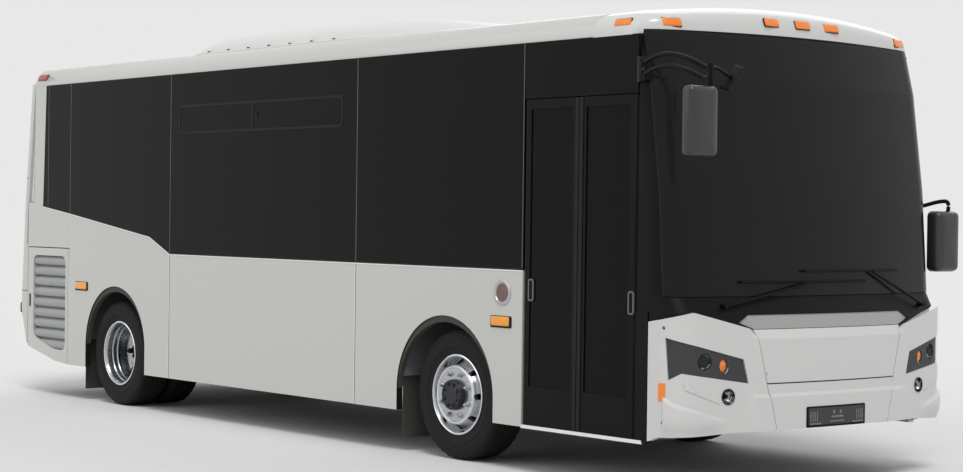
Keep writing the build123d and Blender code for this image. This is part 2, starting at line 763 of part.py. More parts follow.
# Entrance door
DOOR_BOTTOM_Z = 310
LEAF_STILE = 60
LEAF_KICK = 240
GLASS_SET_IN = 8
DOOR_MIDDLE = (DOOR_FRONT + DOOR_REAR) / 2
LEAVES = {
    # name: stations of the pivot and of the free edge
    "front": (LEAF_PIVOTS[0], DOOR_MIDDLE - DOOR_GAP / 2),
    "rear": (LEAF_PIVOTS[1], DOOR_MIDDLE + DOOR_GAP / 2),
}


def door_leaf(pivot, edge):
    """Frame of one leaf: a round pivot stile, a free edge and a glazed opening."""
    outer, inner = -BODY_HALF_WIDTH, -BODY_HALF_WIDTH + LEAF
    low, high = DOOR_BOTTOM_Z, DOOR_HEADER_Z
    leaf = block(pivot, edge, outer, inner, low, high)
    leaf += Pos(x_at(pivot), PIVOT_Y, (low + high) / 2) * Cylinder(LEAF / 2, high - low)
    reach = high - low + 2 * (DOOR_GAP + PIN_BITE - 2)
    leaf += Pos(x_at(pivot), PIVOT_Y, (low + high) / 2) * Cylinder(PIN_RADIUS, reach)
    return leaf - leaf_light(pivot, edge, outer - 5, inner + 5)


def leaf_light(pivot, edge, side_a, side_b):
    """The glazed part of a leaf between two sides."""
    way = 1 if edge > pivot else -1
    front, rear = pivot + way * (LEAF_STILE - LEAF / 2), edge - way * LEAF_STILE
    return block(front, rear, side_a, side_b, DOOR_BOTTOM_Z + LEAF_KICK, DOOR_HEADER_Z - LEAF_STILE)


def leaf_glass(pivot, edge):
    outer = -BODY_HALF_WIDTH + GLASS_SET_IN
    return leaf_light(pivot, edge, outer, outer + GLASS)


# Rear end
REAR_BUMPER_TOP = 800
REAR_MID_Z = 1690
HATCH_LOW = 830
HATCH_HIGH = 1560
HATCH_HALF = 860
REAR_GLASS_LOW = 1740
REAR_GLASS_HIGH = 2560
REAR_GLASS_HALF = 960
GLASS_BORDER = 60
HINGE_Z = HATCH_HIGH - DOOR_GAP / 2
HINGE_STATION = value_at(REAR_PROFILE, HINGE_Z) + DOOR_GAP
HINGE_Y = 420
HINGE_EYE = 40
HINGE_CHEEK = 14
HINGE_PIN = 5
HINGE_BARREL = 10
HINGE_STRAP = 40


def rear_prism(half, low, high, round_off):
    outline = RectangleRounded(2 * half, high - low, round_off)
    plane = Plane((x_at(TAIL), 0, (low + high) / 2), x_dir=(0, 1, 0), z_dir=(1, 0, 0))
    return extrude(plane * outline, amount=TAIL - PILLAR_REAR + 2 * BEYOND)


def rear_wall():
    upper = rear_skin(REAR_MID_Z, ROOF_CROWN_Z, 0) & section_block(0, PILLAR_REAR + SEAM, TAIL)
    inner = rear_skin(REAR_MID_Z, ROOF_CROWN_Z - ROOF_SKIN, WALL)
    upper -= inner & section_block(ROOF_SKIN, PILLAR_REAR - 10, TAIL)
    lower = rear_skin(REAR_BUMPER_TOP + SEAM, REAR_MID_Z, 0, WALL)
    lower = lower & block(GRILLE_REAR + SEAM, TAIL, -WIDE, WIDE, 0, REAR_MID_Z)
    wall = upper + lower
    wall -= rear_prism(HATCH_HALF, HATCH_LOW, HATCH_HIGH, 40)
    low, high = REAR_GLASS_LOW + GLASS_BORDER, REAR_GLASS_HIGH - GLASS_BORDER
    wall -= rear_prism(REAR_GLASS_HALF - GLASS_BORDER, low, high, 60)
    recess = rear_skin(REAR_MID_Z, GLASS_TOP_Z, -20, GLASS)
    wall -= recess & rear_prism(REAR_GLASS_HALF, REAR_GLASS_LOW, REAR_GLASS_HIGH, 90)
    for side in (-1, 1):
        for cheek in (-1, 1):
            centre = side * HINGE_Y + cheek * (HINGE_EYE / 2 + 1 + HINGE_CHEEK / 2)
            wall += hinge_lug(centre, HINGE_CHEEK, 1)
        wall += hinge_rod(side * HINGE_Y, HINGE_EYE + 2 * HINGE_CHEEK, HINGE_PIN)
    return wall


def hinge_rod(y, length, radius):
    return Pos(x_at(HINGE_STATION), y, HINGE_Z) * Rot(90, 0, 0) * Cylinder(radius, length)


def hinge_lug(y, width, way):
    """Strap from the skin to the hinge line, above it or below it."""
    low = HINGE_Z + way * (DOOR_GAP / 2 + 1)
    high = HINGE_Z + way * HINGE_STRAP
    strap = rear_skin(HATCH_LOW, REAR_MID_Z, -HINGE_STRAP, 0)
    strap = strap & block(GRILLE_REAR, TAIL, y - width / 2, y + width / 2, min(low, high), max(low, high))
    strap = strap & block(GRILLE_REAR, HINGE_STATION, -WIDE, WIDE, 0, ROOF_CROWN_Z)
    return strap + hinge_rod(y, width, HINGE_BARREL)


def rear_window():
    pane = rear_skin(REAR_MID_Z, GLASS_TOP_Z, 0, GLASS)
    return pane & rear_prism(REAR_GLASS_HALF - 2, REAR_GLASS_LOW + 2, REAR_GLASS_HIGH - 2, 88)


def rear_bumper():
    skin = rear_skin(REAR_PROFILE[0][0], REAR_BUMPER_TOP, 0, WALL)
    return skin & block(GRILLE_REAR + SEAM, TAIL, -WIDE, WIDE, 0, REAR_BUMPER_TOP)


def engine_hatch():
    skin = rear_skin(REAR_BUMPER_TOP, REAR_MID_Z, 0, WALL)
    hatch = skin & rear_prism(HATCH_HALF - DOOR_GAP, HATCH_LOW + DOOR_GAP, HATCH_HIGH - DOOR_GAP, 36)
    for side in (-1, 1):
        hatch += hinge_lug(side * HINGE_Y, HINGE_EYE, -1)
        hatch -= hinge_rod(side * HINGE_Y, 2 * HINGE_EYE, HINGE_PIN + BORE_CLEARANCE)
    return hatch


# Engine side doors with louvres
LOUVRE_FRONT = SEAM_REAR + 75
LOUVRE_REAR = GRILLE_REAR - 105
LOUVRE_LOW = 470
LOUVRE_HIGH = GRILLE_TOP_Z - 68
LOUVRES = 9
SLAT_WIDTH = 40
SLAT = 6
SLAT_LEAN = -50
DOOR_CUT = 527


def side_grille():
    """Left engine door: a panel with a field of slanted slats."""
    pivot = SEAM_REAR + SEAM / 2 + DOOR_GAP + WALL / 2
    outline = [
        (pivot, SKIRT_Z),
        (pivot, GRILLE_TOP_Z),
        (GRILLE_REAR - SEAM, GRILLE_TOP_Z),
        (GRILLE_REAR - SEAM, REAR_PROFILE[0][0]),
        (GRILLE_REAR - DOOR_CUT, SKIRT_Z + 16),
    ]
    inside = BODY_HALF_WIDTH - WALL
    door = side_plate(outline, inside, BODY_HALF_WIDTH)
    door -= block(LOUVRE_FRONT, LOUVRE_REAR, inside - 5, BODY_HALF_WIDTH + 5, LOUVRE_LOW, LOUVRE_HIGH)
    pitch = (LOUVRE_HIGH - LOUVRE_LOW) / LOUVRES
    middle = (LOUVRE_FRONT + LOUVRE_REAR) / 2
    for row in range(LOUVRES):
        height = LOUVRE_LOW + (row + 0.5) * pitch
        slat = Box(LOUVRE_REAR - LOUVRE_FRONT, SLAT_WIDTH, SLAT)
        place = Pos(x_at(middle), BODY_HALF_WIDTH - WALL / 2, height)
        door += place * Rot(SLAT_LEAN, 0, 0) * slat
    stile = Cylinder(WALL / 2, GRILLE_TOP_Z - SKIRT_Z)
    door += Pos(x_at(pivot), BODY_HALF_WIDTH - WALL / 2, (SKIRT_Z + GRILLE_TOP_Z) / 2) * stile
    pin = Cylinder(PIN_RADIUS, 2 * (DOOR_GAP + PIN_BITE - 2))
    return door + Pos(x_at(pivot), BODY_HALF_WIDTH - WALL / 2, GRILLE_TOP_Z) * pin


# Roof air conditioner
COOLER_REAR = SEAM_MID + 283
COOLER_FRONT = COOLER_REAR - 3723
COOLER_HALF = 850
COOLER_TOP = 3050
TAPER = 250
TAPER_LENGTH = 1598
COOLER_OUTLINE = (
    # station, height
    (COOLER_FRONT, 2880),
    (COOLER_FRONT, 2925),
    (COOLER_FRONT + 1088, COOLER_TOP),
    (COOLER_REAR - 405, COOLER_TOP),
    (COOLER_REAR - 55, 2990),
    (COOLER_REAR, 2925),
    (COOLER_REAR, 2880),
)


def ac_unit():
    hull = side_plate(COOLER_OUTLINE, -COOLER_HALF, COOLER_HALF)
    plan = [
        (-COOLER_HALF, COOLER_REAR),
        (-COOLER_HALF, COOLER_FRONT + TAPER_LENGTH),
        (-COOLER_HALF + TAPER, COOLER_FRONT),
        (COOLER_HALF - TAPER, COOLER_FRONT),
        (COOLER_HALF, COOLER_FRONT + TAPER_LENGTH),
        (COOLER_HALF, COOLER_REAR),
    ]
    outline = Polygon(*[(x_at(s), y) for y, s in plan], align=None)
    hull = hull & extrude(Pos(0, 0, WINDOW_TOP_Z) * outline, amount=COOLER_TOP, dir=(0, 0, 1))
    return hull - section_block(0, COOLER_FRONT - BEYOND, COOLER_REAR + BEYOND)


# Mirrors
MIRROR_FOOT = (410, 480)
FOOT_PROUD = 16
ARM_RADIUS = 13
MAIN_HEAD = -165
LEFT_HEAD = 250
HEAD_TOP_Z = 2370
HEAD_HEIGHT = 400
HEAD_OUT = 130
MIRROR_PANE = 3
ARM_DROP = 70
RIGHT_ARM = (
    # station, distance outside the body's side, height
    (445, 8, 2535),
    (300, 45, 2567),
    (150, 70, 2570),
    (0, 66, 2534),
    (-80, 36, 2492),
    (-138, 36, 2474),
)


def mirror_head(centre, size, round_off):
    head = Pos(*centre) * Box(*size)
    return fillet(head.edges(), round_off)


def mirror_foot(side, low, high):
    """Plate on the corner post that carries a mirror's arm."""
    front, rear = MIRROR_FOOT
    inner, outer = side * (GLASS_EDGE_Y + 1), side * (BODY_HALF_WIDTH + FOOT_PROUD)
    foot = block(front, rear, inner, outer, low, high)
    return foot - front_skin(MASK_TOP_Z, GLASS_TOP_Z, GLASS)


def bent_arm(points):
    """A round arm with ball bends through a list of points."""
    arm = rod(points[0], points[1], ARM_RADIUS)
    for start, end in zip(points[1:], points[2:]):
        arm += rod(start, end, ARM_RADIUS) + Pos(*start) * Sphere(ARM_RADIUS + 1)
    return arm


def mirrors():
    """Twin arched arms, main head and look-down mirror on the right, one arm and head on the left."""
    half = BODY_HALF_WIDTH
    right = mirror_foot(-1, 2430, 2570)
    for drop in (0, ARM_DROP):
        right += bent_arm([(x_at(s), -half - out, z - drop) for s, out, z in RIGHT_ARM])
    last_s, last_out, last_z = RIGHT_ARM[-1]
    clamp = (x_at(last_s), -half - last_out)
    head_y = -half - HEAD_OUT
    right += rod((*clamp, last_z), (*clamp, HEAD_TOP_Z - ARM_RADIUS), ARM_RADIUS)
    right += mirror_head((x_at(MAIN_HEAD), head_y, HEAD_TOP_Z - HEAD_HEIGHT / 2), (80, 230, HEAD_HEIGHT), 30)
    low = (x_at(-120), -half + 160, 2430)
    right += Pos(*low) * Rot(45, 0, 0) * Rot(0, 25, 0) * Box(70, 190, 20)
    right += rod((*clamp, last_z), low, ARM_RADIUS - 3)
    left = mirror_foot(1, 1640, 1780)
    bend = (x_at(LEFT_HEAD), half + 150, 1760)
    root = x_at(sum(MIRROR_FOOT) / 2)
    left += bent_arm([(root, half + FOOT_PROUD / 2, 1700), bend, (bend[0], bend[1], 1650)])
    left += mirror_head((x_at(LEFT_HEAD), half + 115, 1490), (110, 230, HEAD_HEIGHT), 40)
    return [right, left]


def mirror_glass():
    half = BODY_HALF_WIDTH
    right_x, left_x = MAIN_HEAD + 40, LEFT_HEAD + 55
    low, high = HEAD_TOP_Z - HEAD_HEIGHT + 25, HEAD_TOP_Z - 25
    right = block(right_x, right_x + MIRROR_PANE, -half - HEAD_OUT - 95, -half - HEAD_OUT + 95, low, high)
    left = block(left_x, left_x + MIRROR_PANE, half + 20, half + 210, 1315, 1665)
    return [right, left]


# Lamps
ROOF_LAMPS = (
    # side, height
    (-271, 2828),
    (0, 2829),
    (271, 2828),
    (-1039, 2786),
    (1039, 2786),
)
SIDE_MARKERS = (
    # front station, rear station, low, high
    (DOOR_REAR + 104, DOOR_REAR + 318, 904, 981),
    (REAR_AXLE_STATION + 443, REAR_AXLE_STATION + 671, 937, 1014),
)
MARKER_PROUD = 12
CORNER_MARKER = (238, 287, 549, 656)
CANT_AMBER = (600, 700)
CANT_RED = (BODY_LENGTH - 557, BODY_LENGTH - 403)
CANT_LAMP_Z = (2764, 2796)
CANT_PROUD = 8
TAIL_LAMP_Z = (930, 1480)
TAIL_LAMP_IN = 60
TAIL_LAMP_OUT = 190


def cant_lamp(stations):
    """A lamp on the left cant rail that follows its round."""
    front, rear = stations
    low, high = CANT_LAMP_Z
    band = section_block(-CANT_PROUD, front, rear) - section_block(0, front, rear)
    return band & block(front, rear, BODY_HALF_WIDTH - CANT_RADIUS, WIDE, low, high)


def amber_lamps():
    made = []
    roof = front_skin(WINDOW_TOP_Z, ROOF_CROWN_Z, 0)
    for y, z in ROOF_LAMPS:
        x = screen_x(y, z)
        made.append(Pos(x, y, z) * Box(30, 100, 34) - roof)
    for station_a, station_b, low, high in SIDE_MARKERS:
        lamp = block(station_a, station_b, BODY_HALF_WIDTH, BODY_HALF_WIDTH + MARKER_PROUD, low, high)
        made += both(lamp)
    front, rear, low, high = CORNER_MARKER
    corner = front_skin(low, high, -CANT_PROUD / 2, 0)
    made += both(corner & block(front, rear, BODY_HALF_WIDTH - CORNER_RADIUS, WIDE, low, high))
    return made + both(cant_lamp(CANT_AMBER))


def red_lamps():
    low, high = TAIL_LAMP_Z
    lamp = rear_skin(low - BEYOND, high + BEYOND, -CANT_PROUD, 0)
    inner, outer = HATCH_HALF + TAIL_LAMP_IN, HATCH_HALF + TAIL_LAMP_OUT
    window = block(GRILLE_REAR + TAIL_LAMP_IN, TAIL, inner, outer, low, high)
    return both(lamp & window) + both(cant_lamp(CANT_RED))


# Arch rubbers and mud flaps
FLAP_Z = 95
FLAP_TOP_Z = 560
FLAP = 8
FLAP_IN = 250
LIP_GAP = 4


def arch_rubber(arch):
    """Crescent lip inside the upper edge of one arch."""
    station, radius, height = arch
    turn = Rot(90, 0, 0)
    depth = WALL - 3 * LIP_GAP
    outer = Pos(x_at(station), BODY_HALF_WIDTH - WALL / 2 - LIP_GAP, height) * turn * Cylinder(radius, depth)
    inner = Pos(x_at(station), BODY_HALF_WIDTH, height - LIP) * turn * Cylinder(radius - LIP_GAP, 4 * WALL)
    below = block(station - 2 * radius, station + 2 * radius, 0, WIDE, 0, height)
    return outer - inner - below


def arch_rubbers():
    made = []
    for arch in ARCHES:
        made += both(arch_rubber(arch))
    for axle, reach in ((FRONT_AXLE_STATION, FRONT_HOUSING_REACH), (REAR_AXLE_STATION, REAR_HOUSING_REACH)):
        station = axle + reach + SHEET
        outer = BODY_HALF_WIDTH - WALL - LIP_GAP - 1
        made += both(block(station, station + FLAP, HOUSING_Y + FLAP_IN, outer, FLAP_Z, FLAP_TOP_Z))
    return made


# Engine block, tank and axles
TANK_LENGTH = 1100
TANK_AHEAD = 303.5  # from midway between the axles forward to the tank's middle
TANK_FRONT = (FRONT_AXLE_STATION + REAR_AXLE_STATION - TANK_LENGTH) / 2 - TANK_AHEAD
TANK_REAR = TANK_FRONT + TANK_LENGTH
TANK_INNER_Y = 560
TANK_IN = 100
TANK_LOW_Z = 300
TANK_ROUND = 60
BEAM_Z = 400
BEAM_HALF = 45
BEAM_DROP = (90, 20)
EYE_RADIUS = 48
EYE_HALF = 35
KINGPIN_RADIUS = 22
SPRING_HALF = 560
SPRING_Y_HALF = 38
SHACKLE = 40
CASING_RADIUS = 62
BOWL_RADIUS = 190
DRUM_RADIUS = 200
REAR_DRUM_OUT = TYRE_FACE_Y - 325
REAR_DRUM_IN = REAR_DRUM_OUT - 200
SPINDLE_RADIUS = 40
SPINDLE_BITE = 80
SPINDLE_END = TYRE_FACE_Y - 90
BACK_PLATE = (TYRE_FACE_Y - 210, TYRE_FACE_Y - 190)
BACK_PLATE_RADIUS = 185


def engine_block():
    return block(ENGINE_FRONT, ENGINE_REAR, -ENGINE_HALF, ENGINE_HALF, ENGINE_BOTTOM_Z, ENGINE_TOP_Z)


def fuel_tank():
    outer = BODY_HALF_WIDTH - TANK_IN
    tank = block(TANK_FRONT, TANK_REAR, TANK_INNER_Y, outer, TANK_LOW_Z, RAIL_TOP_Z - ARM_DEPTH)
    return fillet(tank.edges().filter_by(Axis.X), TANK_ROUND)


def leaf_spring(station, side, low, high, hanger_top):
    """A leaf pack along one rail, with a hanger at each end."""
    inner, outer = side * (RAIL_Y - SPRING_Y_HALF), side * (RAIL_Y + SPRING_Y_HALF)
    spring = block(station - SPRING_HALF, station + SPRING_HALF, inner, outer, low, high)
    for end in (-1, 1):
        hanger = station + end * (SPRING_HALF - SHACKLE)
        spring += block(hanger - SHACKLE, hanger + SHACKLE, inner, outer, high - 5, hanger_top)
    return spring


def front_beam():
    """Dropped beam with an eye for each kingpin."""
    front, rear = FRONT_AXLE_STATION - BEAM_HALF, FRONT_AXLE_STATION + BEAM_HALF
    low, high = BEAM_Z - BEAM_DROP[0], BEAM_Z - BEAM_DROP[1]
    hub_low, hub_high = TYRE_OUTER_RADIUS - EYE_HALF, TYRE_OUTER_RADIUS + EYE_HALF
    end, elbow, neck = KINGPIN_Y - 60, KINGPIN_Y - 130, KINGPIN_Y - 90
    beam = block(front, rear, -end, end, low, high)
    for side in (-1, 1):
        pivot = Pos(x_at(FRONT_AXLE_STATION), side * KINGPIN_Y, TYRE_OUTER_RADIUS)
        beam += block(front, rear, side * elbow, side * end, low, hub_high)
        beam += block(front + 5, rear - 5, side * neck, side * KINGPIN_Y, hub_low, hub_high)
        beam += pivot * Cylinder(EYE_RADIUS, 2 * EYE_HALF)
        beam -= pivot * Cylinder(KINGPIN_RADIUS + BORE_CLEARANCE, 4 * EYE_HALF)
        beam += leaf_spring(FRONT_AXLE_STATION, side, high, high + 25, RAIL_BOTTOM_Z)
    return beam


def rear_casing():
    """Axle tube with its round middle, brake drums and spindles."""
    middle = Pos(x_at(REAR_AXLE_STATION), 0, TYRE_OUTER_RADIUS)
    turn = Rot(90, 0, 0)
    casing = middle * turn * Cylinder(CASING_RADIUS, 2 * REAR_DRUM_OUT)
    casing += middle * Sphere(BOWL_RADIUS)
    for side in (-1, 1):
        drum = Pos(0, side * (REAR_DRUM_IN + REAR_DRUM_OUT) / 2, 0) * turn
        casing += middle * drum * Cylinder(DRUM_RADIUS, REAR_DRUM_OUT - REAR_DRUM_IN)
        spindle = Pos(0, side * (REAR_DRUM_OUT + SPINDLE_BITE / 2), 0) * turn
        casing += middle * spindle * Cylinder(SPINDLE_RADIUS, SPINDLE_BITE)
        casing += leaf_spring(REAR_AXLE_STATION, side, BEAM_Z - 50, BEAM_Z - 20, KICK_BOTTOM_Z)
    return casing


def axles():
    return [front_beam(), rear_casing()]


def knuckle():
    """Left knuckle: yoke round the beam's eye, kingpin, back plate and spindle."""
    centre = Pos(x_at(FRONT_AXLE_STATION), 0, TYRE_OUTER_RADIUS)
    body = centre * Pos(0, KINGPIN_Y, 0) * Cylinder(KINGPIN_RADIUS, 4 * EYE_HALF)
    for side in (-1, 1):
        body += centre * Pos(0, KINGPIN_Y + 18, side * 56) * Box(84, 94, 28)
    plate_in, plate_out = BACK_PLATE
    body += centre * Pos(0, plate_in - 6, 0) * Box(90, 14, 140)
    turn = Rot(90, 0, 0)
    plate = Cylinder(BACK_PLATE_RADIUS, plate_out - plate_in)
    body += centre * Pos(0, (plate_in + plate_out) / 2, 0) * turn * plate
    spindle = Cylinder(SPINDLE_RADIUS, SPINDLE_END - plate_in)
    body += centre * Pos(0, (plate_in + SPINDLE_END) / 2, 0) * turn * spindle
    return body


# Wheels, drawn as half sections of (radius, side) about the wheel's middle
HAND_HOLES = 8
HAND_HOLE_RING = 207
REAR_HOLE_RING = 212
HAND_HOLE_RADIUS = 24
HUB_RADIUS = 109
FRONT_HUB_OUT = 108
REAR_HUB_OUT = 95
BEAD_IN = 36
FLANGE = 10
FRONT_WHEEL_Y = TYRE_FACE_Y - TYRE_WIDTH / 2
REAR_WHEEL_Y = FRONT_WHEEL_Y - DUAL_SPACING / 2


def turned(points):
    """Turn an outline of (radius, side) about the Y axis."""
    outline = Polygon(*points, align=None)
    return revolve(Plane.XY * outline, axis=Axis.Y)


def tyre():
    half = TYRE_WIDTH / 2
    bead = half - BEAD_IN
    profile = [
        (RIM_SEAT_RADIUS, -bead),
        (RIM_FLANGE_RADIUS + 8, -bead),
        (345, -half),
        (408, -half + 6),
        (TYRE_OUTER_RADIUS - 4, -half + 28),
        (TYRE_OUTER_RADIUS, -half + 45),
        (TYRE_OUTER_RADIUS, half - 45),
        (TYRE_OUTER_RADIUS - 4, half - 28),
        (408, half - 6),
        (345, half),
        (RIM_FLANGE_RADIUS + 8, bead),
        (RIM_SEAT_RADIUS, bead),
    ]
    return turned(profile)


def barrel():
    bead = TYRE_WIDTH / 2 - BEAD_IN
    inner = RIM_SEAT_RADIUS - 12
    return turned([
        (inner, -bead - FLANGE),
        (RIM_FLANGE_RADIUS, -bead - FLANGE),
        (RIM_FLANGE_RADIUS, -bead),
        (RIM_SEAT_RADIUS, -bead),
        (RIM_SEAT_RADIUS, bead),
        (RIM_FLANGE_RADIUS, bead),
        (RIM_FLANGE_RADIUS, bead + FLANGE),
        (inner, bead + FLANGE),
    ])


def hand_holes(ring):
    cut = None
    for place in range(HAND_HOLES):
        angle = radians(360 * place / HAND_HOLES)
        hole = Pos(ring * cos(angle), 0, ring * sin(angle)) * Rot(90, 0, 0)
        hole = hole * Cylinder(HAND_HOLE_RADIUS, 600)
        cut = hole if cut is None else cut + hole
    return cut


def front_rim():
    """Front wheel: its disc stands out, with eight hand holes."""
    disc = turned([
        (60, 48), (180, 48), (200, 30), (240, 20),
        (240, 34), (206, 44), (184, 62), (60, 62),
    ])
    wheel = barrel() + disc - hand_holes(HAND_HOLE_RING)
    hub_in = BACK_PLATE[1] + DOOR_GAP - FRONT_WHEEL_Y
    bore_end = SPINDLE_END + DOOR_GAP - FRONT_WHEEL_Y
    turn = Rot(90, 0, 0)
    wheel += Pos(0, (hub_in + FRONT_HUB_OUT) / 2, 0) * turn * Cylinder(HUB_RADIUS, FRONT_HUB_OUT - hub_in)
    bore = Cylinder(SPINDLE_RADIUS + BORE_CLEARANCE, bore_end - hub_in)
    return wheel - Pos(0, (hub_in + bore_end) / 2, 0) * turn * bore


def rear_rims():
    """Twin rear wheels bolted disc to disc, as one turning piece."""
    offset_y = DUAL_SPACING / 2
    outer = Pos(0, offset_y, 0) * barrel()
    inner = Pos(0, -offset_y, 0) * barrel()
    disc = turned([
        (60, -14), (185, -14), (215, -60), (240, -70),
        (240, -56), (222, -46), (197, 0), (222, 46),
        (240, 56), (240, 70), (215, 60), (185, 14), (60, 14),
    ])
    wheel = outer + inner + disc - hand_holes(REAR_HOLE_RING)
    hub_in = REAR_DRUM_OUT + DOOR_GAP - REAR_WHEEL_Y
    bore_end = REAR_DRUM_OUT + SPINDLE_BITE + DOOR_GAP - REAR_WHEEL_Y
    turn = Rot(90, 0, 0)
    wheel += Pos(0, (hub_in + REAR_HUB_OUT) / 2, 0) * turn * Cylinder(HUB_RADIUS, REAR_HUB_OUT - hub_in)
    bore = Cylinder(SPINDLE_RADIUS + BORE_CLEARANCE, bore_end - hub_in)
    return wheel - Pos(0, (hub_in + bore_end) / 2, 0) * turn * bore


def at_wheel(shape, station, side_y):
    return Pos(x_at(station), side_y, TYRE_OUTER_RADIUS) * shape


# Cabin fittings
SEAT_FIRST = 3500
SEAT_PITCH = 750
LOW_ROWS = [*range(SEAT_FIRST, round(RISER - 150), SEAT_PITCH)]
SEAT_ROWS = (
    # station of the backrest's foot, floor height
    *[(station, FLOOR_Z) for station in LOW_ROWS],
    (RISER + 850, REAR_FLOOR_Z),
    (RISER + 1550, REAR_FLOOR_Z),
)
BENCH = BODY_LENGTH - 420
DRIVER = 1560
DRIVER_INNER = 380
DRIVER_OUTER = 900
SEAT_INNER = 260
SEAT_OUTER = BODY_HALF_WIDTH - 100
CUSHION_LOW = 350
CUSHION_HIGH = 450
BACK_HIGH = 1080
SEAT_DEPTH = 470


def seat_unit(station, floor, inner, outer):
    """One seat unit: foot, cushion and backrest, each its own solid."""
    middle = (inner + outer) / 2
    low, high, top = floor + CUSHION_LOW, floor + CUSHION_HIGH, floor + BACK_HIGH
    base = block(station - 330, station - 130, middle - 120, middle + 120, floor, low)
    cushion = block(station - SEAT_DEPTH, station, inner, outer, low, high)
    back = [(station - 90, high), (station, high), (station + 90, top), (station + 20, top)]
    return [base, cushion, side_plate(back, inner, outer)]


def seats():
    made = []
    for station, floor in SEAT_ROWS:
        unit = seat_unit(station, floor, SEAT_INNER, SEAT_OUTER)
        made += unit + [mirrored(part) for part in unit]
    made += seat_unit(BENCH, REAR_FLOOR_Z, -SEAT_OUTER, SEAT_OUTER)
    made += seat_unit(DRIVER, FLOOR_Z, DRIVER_INNER, DRIVER_OUTER)
    return made


DESK_TOP_Z = 1130
WHEEL_Y = 640
WHEEL_RADIUS = 225


def dashboard():
    desk = block(430, 700, -560, BODY_HALF_WIDTH - WALL - SHEET, FLOOR_Z, DESK_TOP_Z)
    column = rod((x_at(600), WHEEL_Y, DESK_TOP_Z - 40), (x_at(860), WHEEL_Y, 1330), 30)
    lean = Pos(x_at(870), WHEEL_Y, 1340) * Rot(0, -47, 0)
    wheel = lean * Torus(WHEEL_RADIUS, 15)
    spokes = lean * (Box(430, 40, 14) + Cylinder(45, 30))
    return desk + column + wheel + spokes


RAIL_TUBE = 17
POLES = (1950, *[station + 200 for station in LOW_ROWS[::2]])
RAIL_END = BODY_LENGTH - 1450
POLE_Y = 520
POLE_TOP = 2640


def grab_rails():
    rail = rod((x_at(POLES[0]), POLE_Y, POLE_TOP), (x_at(RAIL_END), POLE_Y, POLE_TOP), RAIL_TUBE)
    for station in POLES:
        foot = FLOOR_Z
        crown = ROOF_CROWN_Z - ROOF_SKIN
        bow = CROWN_RADIUS - ROOF_SKIN
        top = crown - bow + sqrt(bow ** 2 - (POLE_Y + RAIL_TUBE) ** 2) - BORE_CLEARANCE
        rail += rod((x_at(station), POLE_Y, foot), (x_at(station), POLE_Y, top), RAIL_TUBE)
    return both(rail)


put("chassis_frame", chassis_frame())
put("floor_deck", floor_deck())
put("roof_shell", roof_shell())
put("front_cap", front_cap())
put("windshield_surround", windshield_surround())
put("windshield", windshield())
put("front_panels", front_panels())
put("headlamp_housings", headlamp_housings())
put("headlamp_lenses", headlamp_lenses())
put("wipers", wipers())
put("right_side_panels", right_side_panels())
put("left_side_panels", left_side_panels())
put("window_frames", window_frames())
put("side_windows", side_windows())
for leaf_name, (leaf_a, leaf_b) in LEAVES.items():
    put("door_" + leaf_name + "_leaf", door_leaf(leaf_a, leaf_b))
    put("door_" + leaf_name + "_glass", leaf_glass(leaf_a, leaf_b))
put("rear_wall", rear_wall())
put("rear_window", rear_window())
put("rear_bumper", rear_bumper())
put("engine_hatch", engine_hatch())
put("left_engine_door", side_grille())
put("right_engine_door", mirrored(side_grille()))
put("ac_unit", ac_unit())
put("mirrors", mirrors())
put("mirror_glass", mirror_glass())
put("amber_lamps", amber_lamps())
put("red_lamps", red_lamps())
put("arch_rubbers", arch_rubbers())
put("engine_block", engine_block())
put("fuel_tank", fuel_tank())
put("axles", axles())
put("seats", seats())
put("dashboard", dashboard())
put("grab_rails", grab_rails())

left_knuckle = knuckle()
put("left_knuckle", left_knuckle)
put("right_knuckle", mirrored(left_knuckle))

front_tyre = at_wheel(tyre(), FRONT_AXLE_STATION, FRONT_WHEEL_Y)
front_wheel = at_wheel(front_rim(), FRONT_AXLE_STATION, FRONT_WHEEL_Y)
rear_tyres = [
    at_wheel(tyre(), REAR_AXLE_STATION, REAR_WHEEL_Y + DUAL_SPACING / 2),
    at_wheel(tyre(), REAR_AXLE_STATION, REAR_WHEEL_Y - DUAL_SPACING / 2),
]
rear_wheel = at_wheel(rear_rims(), REAR_AXLE_STATION, REAR_WHEEL_Y)
put("left_front_tyre", front_tyre)
put("right_front_tyre", mirrored(front_tyre))
put("left_front_rim", front_wheel)
put("right_front_rim", mirrored(front_wheel))
put("left_rear_tyres", rear_tyres)
put("right_rear_tyres", [mirrored(each) for each in rear_tyres])
put("left_rear_rims", rear_wheel)
put("right_rear_rims", mirrored(rear_wheel))

os.makedirs("parts", exist_ok=True)
for name, shape in NODES.items():
    export_step(shape, "parts/" + name + ".step")
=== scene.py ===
from math import asin, cos, pi, radians, sin, sqrt

import bmesh
import bpy
from mathutils import Matrix, Vector
from mathutils.geometry import delaunay_2d_cdt


